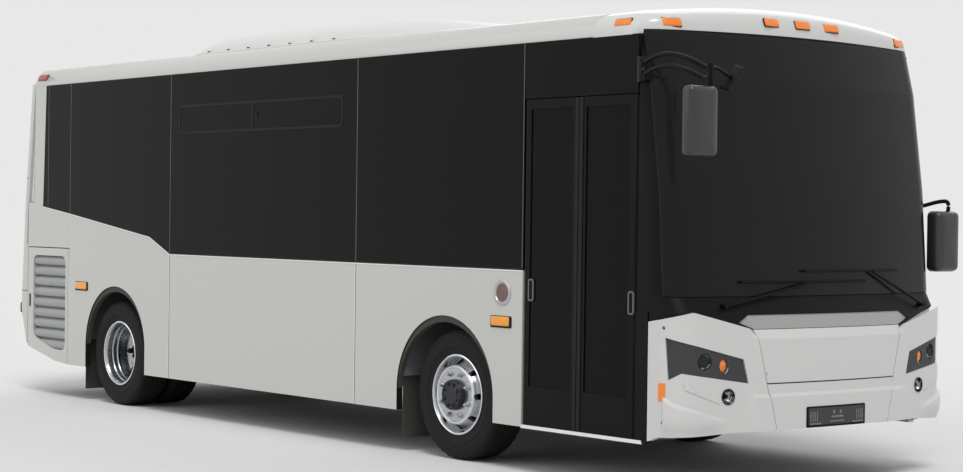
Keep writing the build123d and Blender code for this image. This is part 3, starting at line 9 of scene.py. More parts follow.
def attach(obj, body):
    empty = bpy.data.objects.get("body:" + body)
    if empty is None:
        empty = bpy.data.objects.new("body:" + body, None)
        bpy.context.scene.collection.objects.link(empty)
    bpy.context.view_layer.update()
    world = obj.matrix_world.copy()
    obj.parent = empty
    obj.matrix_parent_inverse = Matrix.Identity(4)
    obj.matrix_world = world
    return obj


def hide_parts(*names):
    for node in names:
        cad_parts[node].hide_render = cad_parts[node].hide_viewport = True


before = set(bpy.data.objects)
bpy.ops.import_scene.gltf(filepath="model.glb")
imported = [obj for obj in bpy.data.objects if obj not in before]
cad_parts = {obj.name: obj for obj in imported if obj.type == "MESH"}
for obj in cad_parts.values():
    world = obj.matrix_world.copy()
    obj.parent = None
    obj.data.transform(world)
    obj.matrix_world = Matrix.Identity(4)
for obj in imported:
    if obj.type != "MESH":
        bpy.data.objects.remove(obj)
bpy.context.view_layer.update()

# City bus. Metres. X points forward, Y to the bus's left, Z up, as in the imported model.
# A station is a distance behind the nose plane. Outlines on a side hold (station, height) points. Outlines
# on the front hold (run, height) points, and the run follows the front's plan from the middle to a side.
NOSE = 4.2  # X of the nose plane
HALF = 1.22  # half the body's width
FRONT_BOW = 5.7  # plan radius of the front
REAR_BOW = 6.5  # plan radius of the rear wall
CORNER = 0.2  # plan radius of the body's corners
FRONT_WHEEL = (1.928, 1.0325, 0.4335)  # middle of the left front wheel
REAR_WHEEL = (-2.635, 0.8825, 0.4335)  # midway between the left twin wheels
DUAL = 0.15  # from there to each twin's middle
SKIRT = 0.292  # height of the side panels' lower edge
GLASS_TOP = 2.712  # height of the side windows' upper edge
CAP_FOOT = 2.741  # height where the screen meets the front cap


def at(station):
    return NOSE - station


def tone(r, g, b):
    """A screen colour, 0 to 255, as the linear values that a shader takes, by the sRGB curve."""
    return tuple(((c / 255 + 0.055) / 1.055) ** 2.4 if c > 10 else c / 3295 for c in (r, g, b))


# Materials
COAT_ROUGHNESS = 0.06
LEAST_ROUGHNESS = 0.02
TALLEST_BUMP = 0.004
WAVE_SCALE = 0.314  # the wave texture's scale at one wave a metre


def node(tree, kind, **values):
    made = tree.nodes.new(kind)
    for name, value in values.items():
        setattr(made, name, value)
    return made


def noise(tree, vector, size, detail=3.0):
    made = node(tree, "ShaderNodeTexNoise")
    made.inputs["Scale"].default_value = 1 / size
    made.inputs["Detail"].default_value = detail
    tree.links.new(vector, made.inputs["Vector"])
    return made.outputs["Fac"]


def remap(tree, value, low, high):
    """The middle of a noise's range, spread from low to high."""
    made = node(tree, "ShaderNodeMapRange")
    made.inputs["From Min"].default_value = 0.3
    made.inputs["From Max"].default_value = 0.7
    made.inputs["To Min"].default_value = low
    made.inputs["To Max"].default_value = high
    tree.links.new(value, made.inputs["Value"])
    return made.outputs["Result"]


def blend_colours(tree, value, dark, light):
    made = node(tree, "ShaderNodeMix", data_type="RGBA")
    made.inputs[6].default_value = (*dark, 1)
    made.inputs[7].default_value = (*light, 1)
    tree.links.new(value, made.inputs[0])
    return made.outputs[2]


def bands(tree, vector, size, along="X"):
    """Straight waves, one to each size."""
    made = node(tree, "ShaderNodeTexWave", wave_type="BANDS", bands_direction=along)
    made.inputs["Scale"].default_value = WAVE_SCALE / size
    made.inputs["Distortion"].default_value = 0.0
    tree.links.new(vector, made.inputs["Vector"])
    return made.outputs["Fac"]


def cells(tree, vector, size):
    made = node(tree, "ShaderNodeTexVoronoi")
    made.inputs["Scale"].default_value = 1 / size
    tree.links.new(vector, made.inputs["Vector"])
    return made.outputs["Distance"]


def both_waves(tree, vector, size):
    made = node(tree, "ShaderNodeMath", operation="MAXIMUM")
    tree.links.new(bands(tree, vector, size, "X"), made.inputs[0])
    tree.links.new(bands(tree, vector, size, "Z"), made.inputs[1])
    return made.outputs["Value"]


RELIEF = {"noise": noise, "cells": cells, "weave": both_waves, "ribs": bands}


def look(name, colour, rough, metal=0.0, coat=0.0, shine=0.5, alpha=1.0, blotch=0.06, blotch_size=0.6,
         relief="noise", depth=0.02, size=0.002, rough_spread=0.05, stretch=(1, 1, 1), glow=0.0,
         pattern_mix=None):
    """A procedural finish: clouded colour and roughness, and fine relief at a real scale."""
    finish = bpy.data.materials.new(name)
    finish.use_nodes = True
    tree = finish.node_tree
    shader = tree.nodes["Principled BSDF"]
    shader.inputs["Metallic"].default_value = metal
    shader.inputs["Coat Weight"].default_value = coat
    shader.inputs["Coat Roughness"].default_value = COAT_ROUGHNESS
    shader.inputs["Specular IOR Level"].default_value = shine
    shader.inputs["Alpha"].default_value = alpha
    if glow:
        shader.inputs["Emission Color"].default_value = (*colour, 1)
        shader.inputs["Emission Strength"].default_value = glow
    place = node(tree, "ShaderNodeTexCoord")
    scale = node(tree, "ShaderNodeMapping")
    scale.inputs["Scale"].default_value = stretch
    tree.links.new(place.outputs["Object"], scale.inputs["Vector"])
    vector = scale.outputs["Vector"]
    cloud = noise(tree, vector, blotch_size, 5.0)
    dark = tuple(c * (1 - blotch) for c in colour)
    light = tuple(min(1.0, c * (1 + blotch)) for c in colour)
    paint = blend_colours(tree, cloud, dark, light)
    height = RELIEF[relief](tree, vector, size)
    if pattern_mix is not None:
        over = node(tree, "ShaderNodeMix", data_type="RGBA")
        over.inputs[7].default_value = (*pattern_mix, 1)
        tree.links.new(height, over.inputs[0])
        tree.links.new(paint, over.inputs[6])
        paint = over.outputs[2]
    tree.links.new(paint, shader.inputs["Base Color"])
    low = max(LEAST_ROUGHNESS, rough - rough_spread)
    rough_map = remap(tree, noise(tree, vector, blotch_size / 4), low, rough + rough_spread)
    tree.links.new(rough_map, shader.inputs["Roughness"])
    bump = node(tree, "ShaderNodeBump")
    bump.inputs["Strength"].default_value = depth
    bump.inputs["Distance"].default_value = min(size, TALLEST_BUMP)
    tree.links.new(height, bump.inputs["Height"])
    tree.links.new(bump.outputs["Normal"], shader.inputs["Normal"])
    return finish


WHITE = tone(196, 196, 192)
MASK_WHITE = tone(206, 206, 205)
LOOKS = {
    "body": look("body_paint", WHITE, 0.30, coat=0.35, blotch=0.012, blotch_size=2.5, depth=0.01,
                 size=0.004, rough_spread=0.02),
    "mask": look("mask_paint", MASK_WHITE, 0.30, coat=0.4, blotch=0.012, blotch_size=2.0, depth=0.01,
                 size=0.004, rough_spread=0.02),
    "strip": look("strip_paint", tone(158, 158, 157), 0.35, coat=0.3, blotch=0.02, depth=0.03, size=0.004),
    "cooler": look("cooler_shell", tone(222, 222, 221), 0.45, blotch=0.03, depth=0.15, size=0.003),
    "black": look("black_moulding", tone(13, 13, 14), 0.42, shine=0.12, depth=0.12, size=0.0015,
                  blotch=0.1),
    "gloss_black": look("gloss_black", tone(11, 11, 12), 0.22, shine=0.12, depth=0.02, size=0.003,
                        blotch=0.08),
    "screen": look("screen_glass", tone(19, 20, 21), 0.22, shine=0.2, alpha=0.94, depth=0.004, size=0.05,
                   rough_spread=0.02),
    "glass": look("side_glass", tone(24, 24, 25), 0.10, shine=0.07, alpha=0.96, depth=0.004, size=0.08,
                  rough_spread=0.02),
    "door_glass": look("door_glass", tone(18, 18, 19), 0.10, shine=0.08, alpha=0.96, depth=0.004, size=0.08,
                       rough_spread=0.02),
    "pan": look("lamp_pan", tone(50, 50, 51), 0.42, shine=0.25, depth=0.05, size=0.002),
    "chrome": look("reflector", tone(190, 193, 196), 0.14, metal=1.0, relief="cells", depth=0.5, size=0.014,
                   blotch=0.25, blotch_size=0.03),
    "dark_chrome": look("dark_reflector", tone(58, 59, 61), 0.16, metal=1.0, relief="cells", depth=0.5,
                        size=0.014, blotch=0.3, blotch_size=0.03),
    "mirror_shell": look("mirror_shell", tone(44, 44, 45), 0.38, coat=0.3, shine=0.4, depth=0.06,
                         size=0.0015),
    "bowl": look("lamp_bowl", tone(150, 152, 155), 0.2, metal=1.0, depth=0.05, size=0.004, blotch=0.3,
                 blotch_size=0.02),
    # The edge finish is bright white for strips that are painted highlights on the panels' edges
    "edge": look("edge_highlight_paint", tone(238, 238, 236), 0.35, depth=0.02, size=0.004, blotch=0.02),
    "line": look("glass_joint", tone(92, 92, 94), 0.5, depth=0.05, size=0.004, blotch=0.05),
    "bracket": look("bracket_face", tone(112, 113, 114), 0.45, depth=0.2, size=0.003, blotch=0.3,
                    blotch_size=0.03),
    "lens": look("clear_lens", tone(150, 152, 155), 0.05, shine=0.3, alpha=0.07, depth=0.02, size=0.01,
                 rough_spread=0.02),
    "amber": look("amber_lens", tone(240, 134, 16), 0.18, coat=0.6, relief="ribs", depth=0.4, size=0.006,
                  blotch=0.10, blotch_size=0.05, glow=0.12, pattern_mix=tone(228, 112, 8)),
    "yellow": look("marker_lens", tone(238, 160, 24), 0.2, coat=0.6, relief="cells", depth=0.5, size=0.012,
                   blotch=0.15, blotch_size=0.05, glow=0.12, pattern_mix=tone(220, 130, 12)),
    "red": look("red_lens", tone(170, 26, 14), 0.18, coat=0.6, relief="ribs", depth=0.4, size=0.006,
                blotch=0.1, blotch_size=0.05, glow=0.08, pattern_mix=tone(140, 16, 8)),
    "mirror": look("mirror_face", tone(200, 204, 208), 0.04, metal=1.0, depth=0.002, size=0.1,
                   rough_spread=0.01),
    "rubber": look("arch_rubber", tone(66, 66, 62), 0.7, shine=0.3, depth=0.2, size=0.003, blotch=0.1,
                   blotch_size=0.2),
    "seal": look("seal_rubber", tone(18, 18, 18), 0.6, shine=0.25, depth=0.15, size=0.002, blotch=0.1,
                 blotch_size=0.2),
    "tyre": look("tyre_rubber", tone(25, 25, 26), 0.78, shine=0.25, depth=0.3, size=0.003, blotch=0.14,
                 blotch_size=0.12),
    "tread": look("tyre_tread", tone(30, 30, 31), 0.85, shine=0.2, depth=0.4, size=0.002, blotch=0.18,
                  blotch_size=0.08),
    "alloy": look("polished_alloy", tone(186, 188, 191), 0.26, metal=1.0, depth=0.01, size=0.006,
                  blotch=0.03, blotch_size=0.1),
    # Brighter, smoother alloy for rings that are painted highlights on the rims' rounded edges
    "bright": look("painted_highlight_alloy", tone(225, 226, 228), 0.14, metal=1.0, depth=0.02, size=0.004,
                   blotch=0.03, blotch_size=0.1),
    "hub": look("hub_iron", tone(52, 53, 55), 0.42, metal=0.6, depth=0.2, size=0.003, blotch=0.15,
                blotch_size=0.05),
    "louvre": look("louvre_alloy", tone(160, 161, 162), 0.34, metal=0.45, depth=0.15, size=0.004,
                   stretch=(0.04, 1, 1), blotch=0.05, blotch_size=0.1),
    "frame": look("frame_paint", tone(30, 30, 31), 0.6, depth=0.3, size=0.004, blotch=0.25,
                  blotch_size=0.3),
    "axle": look("axle_iron", tone(38, 38, 40), 0.6, metal=0.3, depth=0.4, size=0.005, blotch=0.25,
                 blotch_size=0.15),
    "engine": look("engine_iron", tone(84, 86, 88), 0.55, metal=0.5, depth=0.5, size=0.006, blotch=0.2,
                   blotch_size=0.15),
    "floor": look("floor_vinyl", tone(96, 99, 102), 0.6, relief="cells", depth=0.1, size=0.006, blotch=0.08,
                  pattern_mix=tone(120, 123, 126)),
    "fabric": look("seat_fabric", tone(44, 62, 96), 0.85, shine=0.2, relief="weave", depth=0.5, size=0.004,
                   blotch=0.15, blotch_size=0.05, pattern_mix=tone(60, 78, 112)),
    "shell": look("seat_shell", tone(96, 98, 102), 0.45, depth=0.1, size=0.002),
    "dash": look("dash_plastic", tone(52, 53, 55), 0.6, relief="cells", depth=0.25, size=0.0015),
    "steel": look("rail_steel", tone(205, 170, 40), 0.3, coat=0.3, depth=0.05, size=0.002),
    "step": look("step_strip", tone(236, 236, 236), 0.35, relief="ribs", depth=0.2, size=0.01, blotch=0.02),
    "dark_plate": look("blank_plate_face", tone(48, 49, 50), 0.5, relief="cells", depth=0.3, size=0.01,
                       blotch=0.2, blotch_size=0.05),
    "plate": look("blank_plate", tone(200, 201, 200), 0.4, depth=0.05, size=0.002, blotch=0.03),
    "badge": look("badge_disc", tone(120, 96, 90), 0.35, metal=0.5, depth=0.1, size=0.003, blotch=0.3,
                  blotch_size=0.03),
}

# CAD node: the finish that it carries
NODE_LOOKS = {
    "chassis_frame": "frame", "fuel_tank": "frame", "floor_deck": "floor", "roof_shell": "body",
    "front_cap": "mask", "front_panels": "mask", "right_side_panels": "body", "left_side_panels": "body",
    "rear_wall": "body", "rear_bumper": "body", "engine_hatch": "body", "left_engine_door": "body",
    "right_engine_door": "body", "windshield_surround": "black", "wipers": "black",
    "window_frames": "black", "door_front_leaf": "gloss_black", "door_rear_leaf": "gloss_black",
    "mirrors": "black", "windshield": "screen", "side_windows": "glass", "door_front_glass": "door_glass",
    "door_rear_glass": "door_glass", "rear_window": "glass", "headlamp_housings": "pan",
    "headlamp_lenses": "lens", "ac_unit": "cooler", "mirror_glass": "mirror", "amber_lamps": "amber",
    "red_lamps": "red", "arch_rubbers": "rubber", "engine_block": "engine", "axles": "axle",
    "left_knuckle": "axle", "right_knuckle": "axle", "seats": "fabric", "dashboard": "dash",
    "grab_rails": "steel", "left_front_tyre": "tyre", "right_front_tyre": "tyre", "left_rear_tyres": "tyre",
    "right_rear_tyres": "tyre", "left_front_rim": "alloy", "right_front_rim": "alloy",
    "left_rear_rims": "alloy", "right_rear_rims": "alloy",
}
for node_name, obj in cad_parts.items():
    for place in obj.material_slots:
        place.material = LOOKS[NODE_LOOKS[node_name]]
    if not obj.material_slots:
        obj.data.materials.append(LOOKS[NODE_LOOKS[node_name]])


def recolour(node_name, finish, chosen):
    """Gives a second finish to the faces of a CAD node that pass a test of station, height and normal."""
    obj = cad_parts[node_name]
    obj.data.materials.append(LOOKS[finish])
    last = len(obj.data.materials) - 1
    for face in obj.data.polygons:
        heart = obj.matrix_world @ face.center
        if chosen(NOSE - heart.x, heart.z, face.normal):
            face.material_index = last


# Wheel openings: station, radius and height of the middle
ARCHES = ((2.339, 0.520, 0.437), (6.810, 0.502, 0.490))
ARCH_EDGE = 0.03  # how near the opening's edge a face is painted as rubber
DOOR_POST = (0.38, 0.495)  # stations of the post ahead of the door
POST_TOP = 1.10


def in_arch(station, height, normal):
    """True on the faces round a wheel opening."""
    if abs(normal.y) > 0.5:
        return False
    for middle, radius, centre in ARCHES:
        rise = max(0.0, height - centre)
        reach = sqrt((station - middle) ** 2 + rise ** 2)
        if abs(reach - radius) < ARCH_EDGE:
            return True
    return False


def on_door_post(station, height, _):
    return DOOR_POST[0] < station < DOOR_POST[1] and height < POST_TOP


recolour("right_side_panels", "black", on_door_post)
for node_name in ("right_side_panels", "left_side_panels"):
    recolour(node_name, "seal", in_arch)

# Soft edges on the painted panels, as pressed and moulded sheet has
EDGE_SOFTENED = {
    "right_side_panels": 0.004, "left_side_panels": 0.004, "rear_wall": 0.004, "rear_bumper": 0.006,
    "front_cap": 0.004, "roof_shell": 0.003, "ac_unit": 0.02, "engine_hatch": 0.004,
    "left_engine_door": 0.003, "right_engine_door": 0.003, "door_front_leaf": 0.003,
    "door_rear_leaf": 0.003, "dashboard": 0.02,
}
WELD_REACH = 0.00005


def soften(obj, width):
    """Rounds an object's sharp edges."""
    edge = obj.modifiers.new("soft_edges", "BEVEL")
    edge.width = width
    edge.segments = 2
    edge.limit_method = "ANGLE"
    edge.angle_limit = radians(40)


for node_name, width in EDGE_SOFTENED.items():
    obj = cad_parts[node_name]
    weld = obj.modifiers.new("weld", "WELD")
    weld.merge_threshold = WELD_REACH
    soften(obj, width)


# Shapes: each returns a list of points and a list of faces
class Form:
    """Points and faces collected for one piece, each face with its finish."""

    def __init__(self):
        self.points = []
        self.faces = []
        self.finishes = []

    def add(self, shape, finish=0):
        points, faces = shape
        start = len(self.points)
        self.points += [Vector(p) for p in points]
        self.faces += [[start + i for i in face] for face in faces]
        self.finishes += [finish] * len(faces)
        return self

    def mirrored(self):
        other = Form()
        other.points = [Vector((p.x, -p.y, p.z)) for p in self.points]
        other.faces = [list(reversed(face)) for face in self.faces]
        other.finishes = list(self.finishes)
        return other


def mesh_of(name, form):
    mesh = bpy.data.meshes.new(name)
    mesh.from_pydata([tuple(p) for p in form.points], [], form.faces)
    return mesh


def face_outward(mesh):
    """Turns the faces so that all of a closed surface's normals point out."""
    made = bmesh.new()
    made.from_mesh(mesh)
    bmesh.ops.recalc_face_normals(made, faces=made.faces)
    made.to_mesh(mesh)
    made.free()


def linked(name, data):
    """An object in the scene that carries the data."""
    obj = bpy.data.objects.new(name, data)
    bpy.context.scene.collection.objects.link(obj)
    return obj


def piece(name, form, finishes, body, smooth=35, replaces=(), place=None, bevel=0.0):
    """Makes one object from a form, on a body of the model. Edges sharper than smooth degrees stay crisp."""
    mesh = mesh_of(name, form)
    for finish in finishes:
        mesh.materials.append(LOOKS[finish])
    mesh.polygons.foreach_set("material_index", form.finishes)
    face_outward(mesh)
    mesh.shade_smooth()
    mesh.set_sharp_from_angle(angle=radians(smooth))
    obj = linked(name, mesh)
    if place is not None:
        obj.matrix_world = place
    if bevel:
        soften(obj, bevel)
    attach(obj, body)
    if replaces:
        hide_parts(*replaces)


def both_sides(name, form, finishes, smooth, replaces=(), bevel=0.0):
    """A right piece and its mirror image, both on the body. The name has {} in place of the side."""
    piece(name.format("right"), form, finishes, "body", smooth, replaces, bevel=bevel)
    piece(name.format("left"), form.mirrored(), finishes, "body", smooth, bevel=bevel)


def lathe(profile, steps=64, closed=False, wave=None):
    """Turns (radius, side) pairs about the Y axis. A wave changes a radius by its place and turn."""
    points, faces = [], []
    count = len(profile)
    for step in range(steps):
        angle = 2 * pi * step / steps
        for row, (radius, side) in enumerate(profile):
            if wave is not None:
                radius += wave(row, step)
            points.append((radius * cos(angle), side, radius * sin(angle)))
    runs = count if closed else count - 1
    for step in range(steps):
        a, b = step * count, (step + 1) % steps * count
        for row in range(runs):
            after = (row + 1) % count
            faces.append([a + row, a + after, b + after, b + row])
    return points, faces


def smooth_path(points, per=8):
    """A rounded line through the points."""
    line = [Vector(p) for p in points]
    ends = [2 * line[0] - line[1], *line, 2 * line[-1] - line[-2]]
    made = []
    for a, b, c, d in zip(ends, ends[1:], ends[2:], ends[3:]):
        for step in range(per):
            t = step / per
            made.append(0.5 * (2 * b + (c - a) * t + (2 * a - 5 * b + 4 * c - d) * t ** 2
                               + (3 * b - a - 3 * c + d) * t ** 3))
    made.append(line[-1])
    return made


def sweep(path, section, up=(0, 0, 1), closed=False):
    """Draws a section of (aside, up) pairs along a path, with closed ends."""
    line = [Vector(p) for p in path]
    count, wide = len(line), len(section)
    points, faces = [], []
    for i, here in enumerate(line):
        before = line[i - 1] if i or closed else here
        after = line[(i + 1) % count] if i < count - 1 or closed else here
        way = (after - before).normalized()
        aside = way.cross(Vector(up))
        aside = aside.normalized() if aside.length > 1e-5 else way.orthogonal().normalized()
        over = aside.cross(way).normalized()
        points += [here + aside * u + over * v for u, v in section]
    for i in range(count if closed else count - 1):
        a, b = i * wide, (i + 1) % count * wide
        for j in range(wide):
            k = (j + 1) % wide
            faces.append([a + j, a + k, b + k, b + j])
    if not closed:
        faces.append(list(range(wide - 1, -1, -1)))
        faces.append([(count - 1) * wide + j for j in range(wide)])
    return points, faces


def circle(u, v, radius, count=28, tall=1.0):
    return [(u + radius * cos(2 * pi * i / count), v + tall * radius * sin(2 * pi * i / count))
            for i in range(count)]


def tube(path, radius, sides=10, closed=False, up=(0, 0, 1)):
    return sweep(path, circle(0, 0, radius, sides), up, closed)


def bead(half, low, high):
    """A flat section for a sweep, from half its width and its lower and upper faces."""
    return [(-half, low), (half, low), (half, high), (-half, high)]


def rounded_outline(width, height, radius, steps=6):
    """A rectangle with round corners about (0, 0), as (across, up) pairs."""
    made = []
    for turn, (cx, cy) in enumerate(((1, 1), (-1, 1), (-1, -1), (1, -1))):
        for i in range(steps + 1):
            a = pi / 2 * (turn + i / steps)
            made.append((cx * (width / 2 - radius) + radius * cos(a),
                         cy * (height / 2 - radius) + radius * sin(a)))
    return made


def loft(rings, capped=True):
    """Joins closed rings of points that have the same count."""
    wide = len(rings[0])
    points = [Vector(p) for ring in rings for p in ring]
    faces = []
    for i in range(len(rings) - 1):
        a, b = i * wide, (i + 1) * wide
        for j in range(wide):
            k = (j + 1) % wide
            faces.append([a + j, a + k, b + k, b + j])
    if capped:
        faces.append(list(range(wide - 1, -1, -1)))
        faces.append([(len(rings) - 1) * wide + j for j in range(wide)])
    return points, faces


def grid(rows):
    """An open surface through rows of points that have the same count."""
    wide = len(rows[0])
    faces = [[i * wide + k, i * wide + k + 1, (i + 1) * wide + k + 1, (i + 1) * wide + k]
             for i in range(len(rows) - 1) for k in range(wide - 1)]
    return [p for row in rows for p in row], faces


def turned(heart, rows, sides, out=(0, 1, 0), across=(1, 0, 0), up=(0, 0, 1)):
    """A knob from rows of (radius, depth) about the out direction."""
    heart, out, across, up = Vector(heart), Vector(out), Vector(across), Vector(up)
    return loft([[heart + across * u + up * v + out * depth for u, v in circle(0, 0, radius, sides)]
                 for radius, depth in rows])


def pillow_box(centre, size, radius, steps):
    """A box whose edges are all round, as a stack of rounded outlines."""
    wide, deep, tall = size
    rings = []
    for end in (-1, 1):
        turns = range(steps + 1) if end < 0 else range(steps, -1, -1)
        for i in turns:
            angle = pi / 2 * i / steps
            inset = radius * (1 - sin(angle))
            height = end * (tall / 2 - radius + radius * cos(angle))
            corner = max(radius - inset, radius * 0.3)
            outline = rounded_outline(wide - 2 * inset, deep - 2 * inset, corner, 4)
            rings.append([Vector(centre) + Vector((u, v, height)) for u, v in outline])
    return loft(rings)


# The curved front, where s is the run and z the height. The profiles hold (height, station) rows
MASK_PROFILE = ((0.289, 0), (1.07, 0), (1.16, 0.095), (1.81, 0.14), (2.45, 0.228), (2.741, 0.305))
TOP_LEAN = ((0.289, 0), (0.908, 0), (0.965, 0.030), (1.067, 0.056))
TURN = asin((HALF - CORNER) / (FRONT_BOW - CORNER))
BOW_REACH = FRONT_BOW * TURN
CORNER_REACH = BOW_REACH + CORNER * (pi / 2 - TURN)


def value_at(table, place):
    """The value between the rows of a (place, value) table."""
    for (a, u), (b, v) in zip(table, table[1:]):
        if place <= b:
            return u + (v - u) * (place - a) / (b - a)
    return table[-1][1]


def front_point(s, z, out=0.0, profile=MASK_PROFILE):
    """The point of the front's skin at a run and a height, moved outward."""
    side, run = (1 if s >= 0 else -1), abs(s)
    middle = at(value_at(profile, z)) - FRONT_BOW
    if run <= BOW_REACH:
        angle = run / FRONT_BOW
        x, y = middle + (FRONT_BOW + out) * cos(angle), (FRONT_BOW + out) * sin(angle)
    else:
        heart = middle + (FRONT_BOW - CORNER) * cos(TURN)
        angle = min(TURN + (run - BOW_REACH) / CORNER, pi / 2)
        x = heart + (CORNER + out) * cos(angle) - max(0.0, run - CORNER_REACH)
        y = HALF - CORNER + (CORNER + out) * sin(angle)
    return Vector((x, side * y, z))


def inside(outline, u, v):
    """True where a point lies within a closed outline."""
    hit = False
    for (a, b), (c, d) in zip(outline, outline[1:] + outline[:1]):
        if (b > v) != (d > v) and u < a + (v - b) * (c - a) / (d - b):
            hit = not hit
    return hit


def divided(outline, step, closed=True):
    """The outline with points added, about one step apart."""
    after = outline[1:] + outline[:1] if closed else outline[1:]
    made = []
    for (a, b), (c, d) in zip(outline, after):
        count = max(1, round(sqrt((c - a) ** 2 + (d - b) ** 2) / step))
        made += [(a + (c - a) * i / count, b + (d - b) * i / count) for i in range(count)]
    if not closed:
        made.append(outline[-1])
    return made


def skin(outline, spot, holes=(), folds=(), step=0.04, rim=0.04):
    """A curved sheet with a clean outline and holes. spot(u, v, inward) gives the point.

    The rim and the holes' edges turn inward by the rim's depth,
    so the sheet has the look of its full wall."""
    points2d = []
    edges = []
    loops = []
    for loop in [outline, *holes]:
        ring = divided(loop, step)
        start = len(points2d)
        points2d += [Vector(p) for p in ring]
        edges += [(start + i, start + (i + 1) % len(ring)) for i in range(len(ring))]
        loops.append((start, len(ring)))
    for fold in folds:
        ring = divided(fold, step, False)
        start = len(points2d)
        points2d += [Vector(p) for p in ring]
        edges += [(start + i, start + i + 1) for i in range(len(ring) - 1)]
    taken = [tuple(p) for p in points2d]
    lows = [min(p[i] for p in outline) for i in (0, 1)]
    highs = [max(p[i] for p in outline) for i in (0, 1)]
    for i in range(int((highs[0] - lows[0]) / step) + 1):
        for j in range(int((highs[1] - lows[1]) / step) + 1):
            u, v = lows[0] + (i + 0.5) * step, lows[1] + (j + 0.5) * step
            if inside(outline, u, v) and not any(inside(hole, u, v) for hole in holes):
                if min((u - a) ** 2 + (v - b) ** 2 for a, b in taken) > (0.45 * step) ** 2:
                    points2d.append(Vector((u, v)))
    flat, _, triangles, origin, _, _ = delaunay_2d_cdt(points2d, edges, [], 0, 1e-6)
    faces = []
    for tri in triangles:
        u, v = sum(flat[i].x for i in tri) / len(tri), sum(flat[i].y for i in tri) / len(tri)
        if inside(outline, u, v) and not any(inside(hole, u, v) for hole in holes):
            faces.append(list(tri))
    points = [spot(p.x, p.y, 0.0) for p in flat]
    where = {}
    for new, olds in enumerate(origin):
        for old in olds:
            where[old] = new
    for start, count in loops:
        ring = [where[start + i] for i in range(count)]
        base = len(points)
        points += [spot(flat[i].x, flat[i].y, rim) for i in ring]
        for i in range(count):
            j = (i + 1) % count
            faces.append([ring[i], ring[j], base + j, base + i])
    return points, faces


# The white mask: corner panels, bumper middle and the service panel over it
LAMP = [(0.717, 0.648), (0.756, 0.792), (1.288, 0.923), (1.266, 0.674), (1.185, 0.715)]
FOG = (0.869, 0.574, 0.047)  # run, height and radius


def ease(value, low, high):
    """From 0 at low to 1 at high, with soft ends."""
    t = min(1.0, max(0.0, (value - low) / (high - low)))
    return t * t * (3 - 2 * t)


# Where the bumper's lip ends upward along the run, and how wide its ledge is
LIP_EDGE = ((0.0, 0.562), (0.64, 0.562), (0.70, 0.540), (0.80, 0.405), (0.923, 0.430), (1.232, 0.522),
            (1.285, 0.556), (1.5, 0.556))
LEDGE = 0.020
MIDDLE_EDGE = 0.562  # the lip's height across the middle
MIDDLE_OUT = 0.012  # how far the lip stands out there
CORNER_OUT = 0.024  # and at the corners
FIN = [(1.149, 0.678), (1.173, 0.669), (1.162, 0.618), (0.934, 0.535), (0.962, 0.566), (1.125, 0.632)]


def mask_out(s, z):
    """How far the mask's relief stands out at a run and height."""
    run = abs(s)
    lean = -value_at(TOP_LEAN, z) * (1 - ease(run, 0.66, 0.72))
    if run < 0.80:
        fade = 1 - ease(run, 0.64, 0.74)
        return lean + MIDDLE_OUT * (1 - ease(z, MIDDLE_EDGE, MIDDLE_EDGE + LEDGE)) * fade
    low = value_at(LIP_EDGE, run)
    lip = CORNER_OUT * ease(run, 0.84, 1.02) * (1 - ease(run, 1.285, 1.300))
    return lean + lip * (1 - ease(z, low - 0.004, low + LEDGE)) * ease(z, 0.330, 0.430)


# Outlines of the mask's panels on the front, with 4 mm gaps, and the creases drawn into them
MASK_CORNER = [(0.504, 0.362), (0.843, 0.360), (1.341, 0.334), (1.413, 0.306), (1.425, 0.306),
               (1.425, 1.010), (1.319, 1.027), (1.114, 1.070), (0.689, 0.967), (0.652, 0.929),
               (0.577, 0.640)]
LIP_CREASE = [(0.86, 0.418), (0.923, 0.430), (1.232, 0.522), (1.285, 0.556)]
MASK_CORNER_FOLDS = [LIP_CREASE, [(s, z + LEDGE) for s, z in LIP_CREASE], [(1.303, 0.33), (1.303, 1.02)],
                     [(0.645, 0.562), (0.80, 0.562)], [(0.645, 0.582), (0.80, 0.582)]]
MASK_SCREWS = ((1.300, 0.978), (1.300, 0.424))
SERVICE_PANEL = [(-0.671, 0.965), (-0.648, 0.929), (-0.573, 0.6445), (0.573, 0.6445), (0.648, 0.929),
                 (0.671, 0.965)]
BUMPER_MIDDLE = [(-0.572, 0.6375), (-0.500, 0.362), (-0.3, 0.365), (0.3, 0.365), (0.500, 0.362),
                 (0.572, 0.6375)]
MASK_STRIP = [(-0.672, 0.967), (0.672, 0.967), (0.784, 1.007), (0.698, 1.053), (-0.698, 1.053),
              (-0.784, 1.007)]


def mask_spot(s, z, inward):
    return front_point(s, z, mask_out(s, z) - inward)


def scaled(outline, factor):
    """An outline drawn in or out about its middle."""
    u, v = sum(p[0] for p in outline) / len(outline), sum(p[1] for p in outline) / len(outline)
    return [(u + (a - u) * factor, v + (b - v) * factor) for a, b in outline]


def mask():
    right = Form()
    holes = [LAMP, circle(*FOG), *(circle(*heart, 0.012, 12) for heart in MASK_SCREWS)]
    right.add(skin(MASK_CORNER, lambda s, z, d: mask_spot(-s, z, d), holes, MASK_CORNER_FOLDS, 0.022))
    right.add(skin(FIN, lambda s, z, d: mask_spot(-s, z, d - 0.0045), [], [], 0.02, rim=0.008))
    both_sides("mask_{}_corner", right, ["mask"], 22, ["front_panels"], 0.003)
    for name, outline, folds in (("mask_service_panel", SERVICE_PANEL, [(0.64, 0.908)]),
                                 ("mask_bumper_middle", BUMPER_MIDDLE, [(0.55, 0.582), (0.547, 0.562)])):
        folds = [[(-run, height), (run, height)] for run, height in folds]
        form = Form().add(skin(outline, mask_spot, [], folds, 0.035))
        piece(name, form, ["mask"], "body", 22, bevel=0.003)

    def strip_spot(s, z, inward):
        return front_point(s, z, 0.003 - value_at(TOP_LEAN, z) - inward)

    form = Form().add(skin(MASK_STRIP, strip_spot, [], [], 0.05, rim=0.02))
    piece("mask_top_strip", form, ["strip"], "body", 28, bevel=0.002)


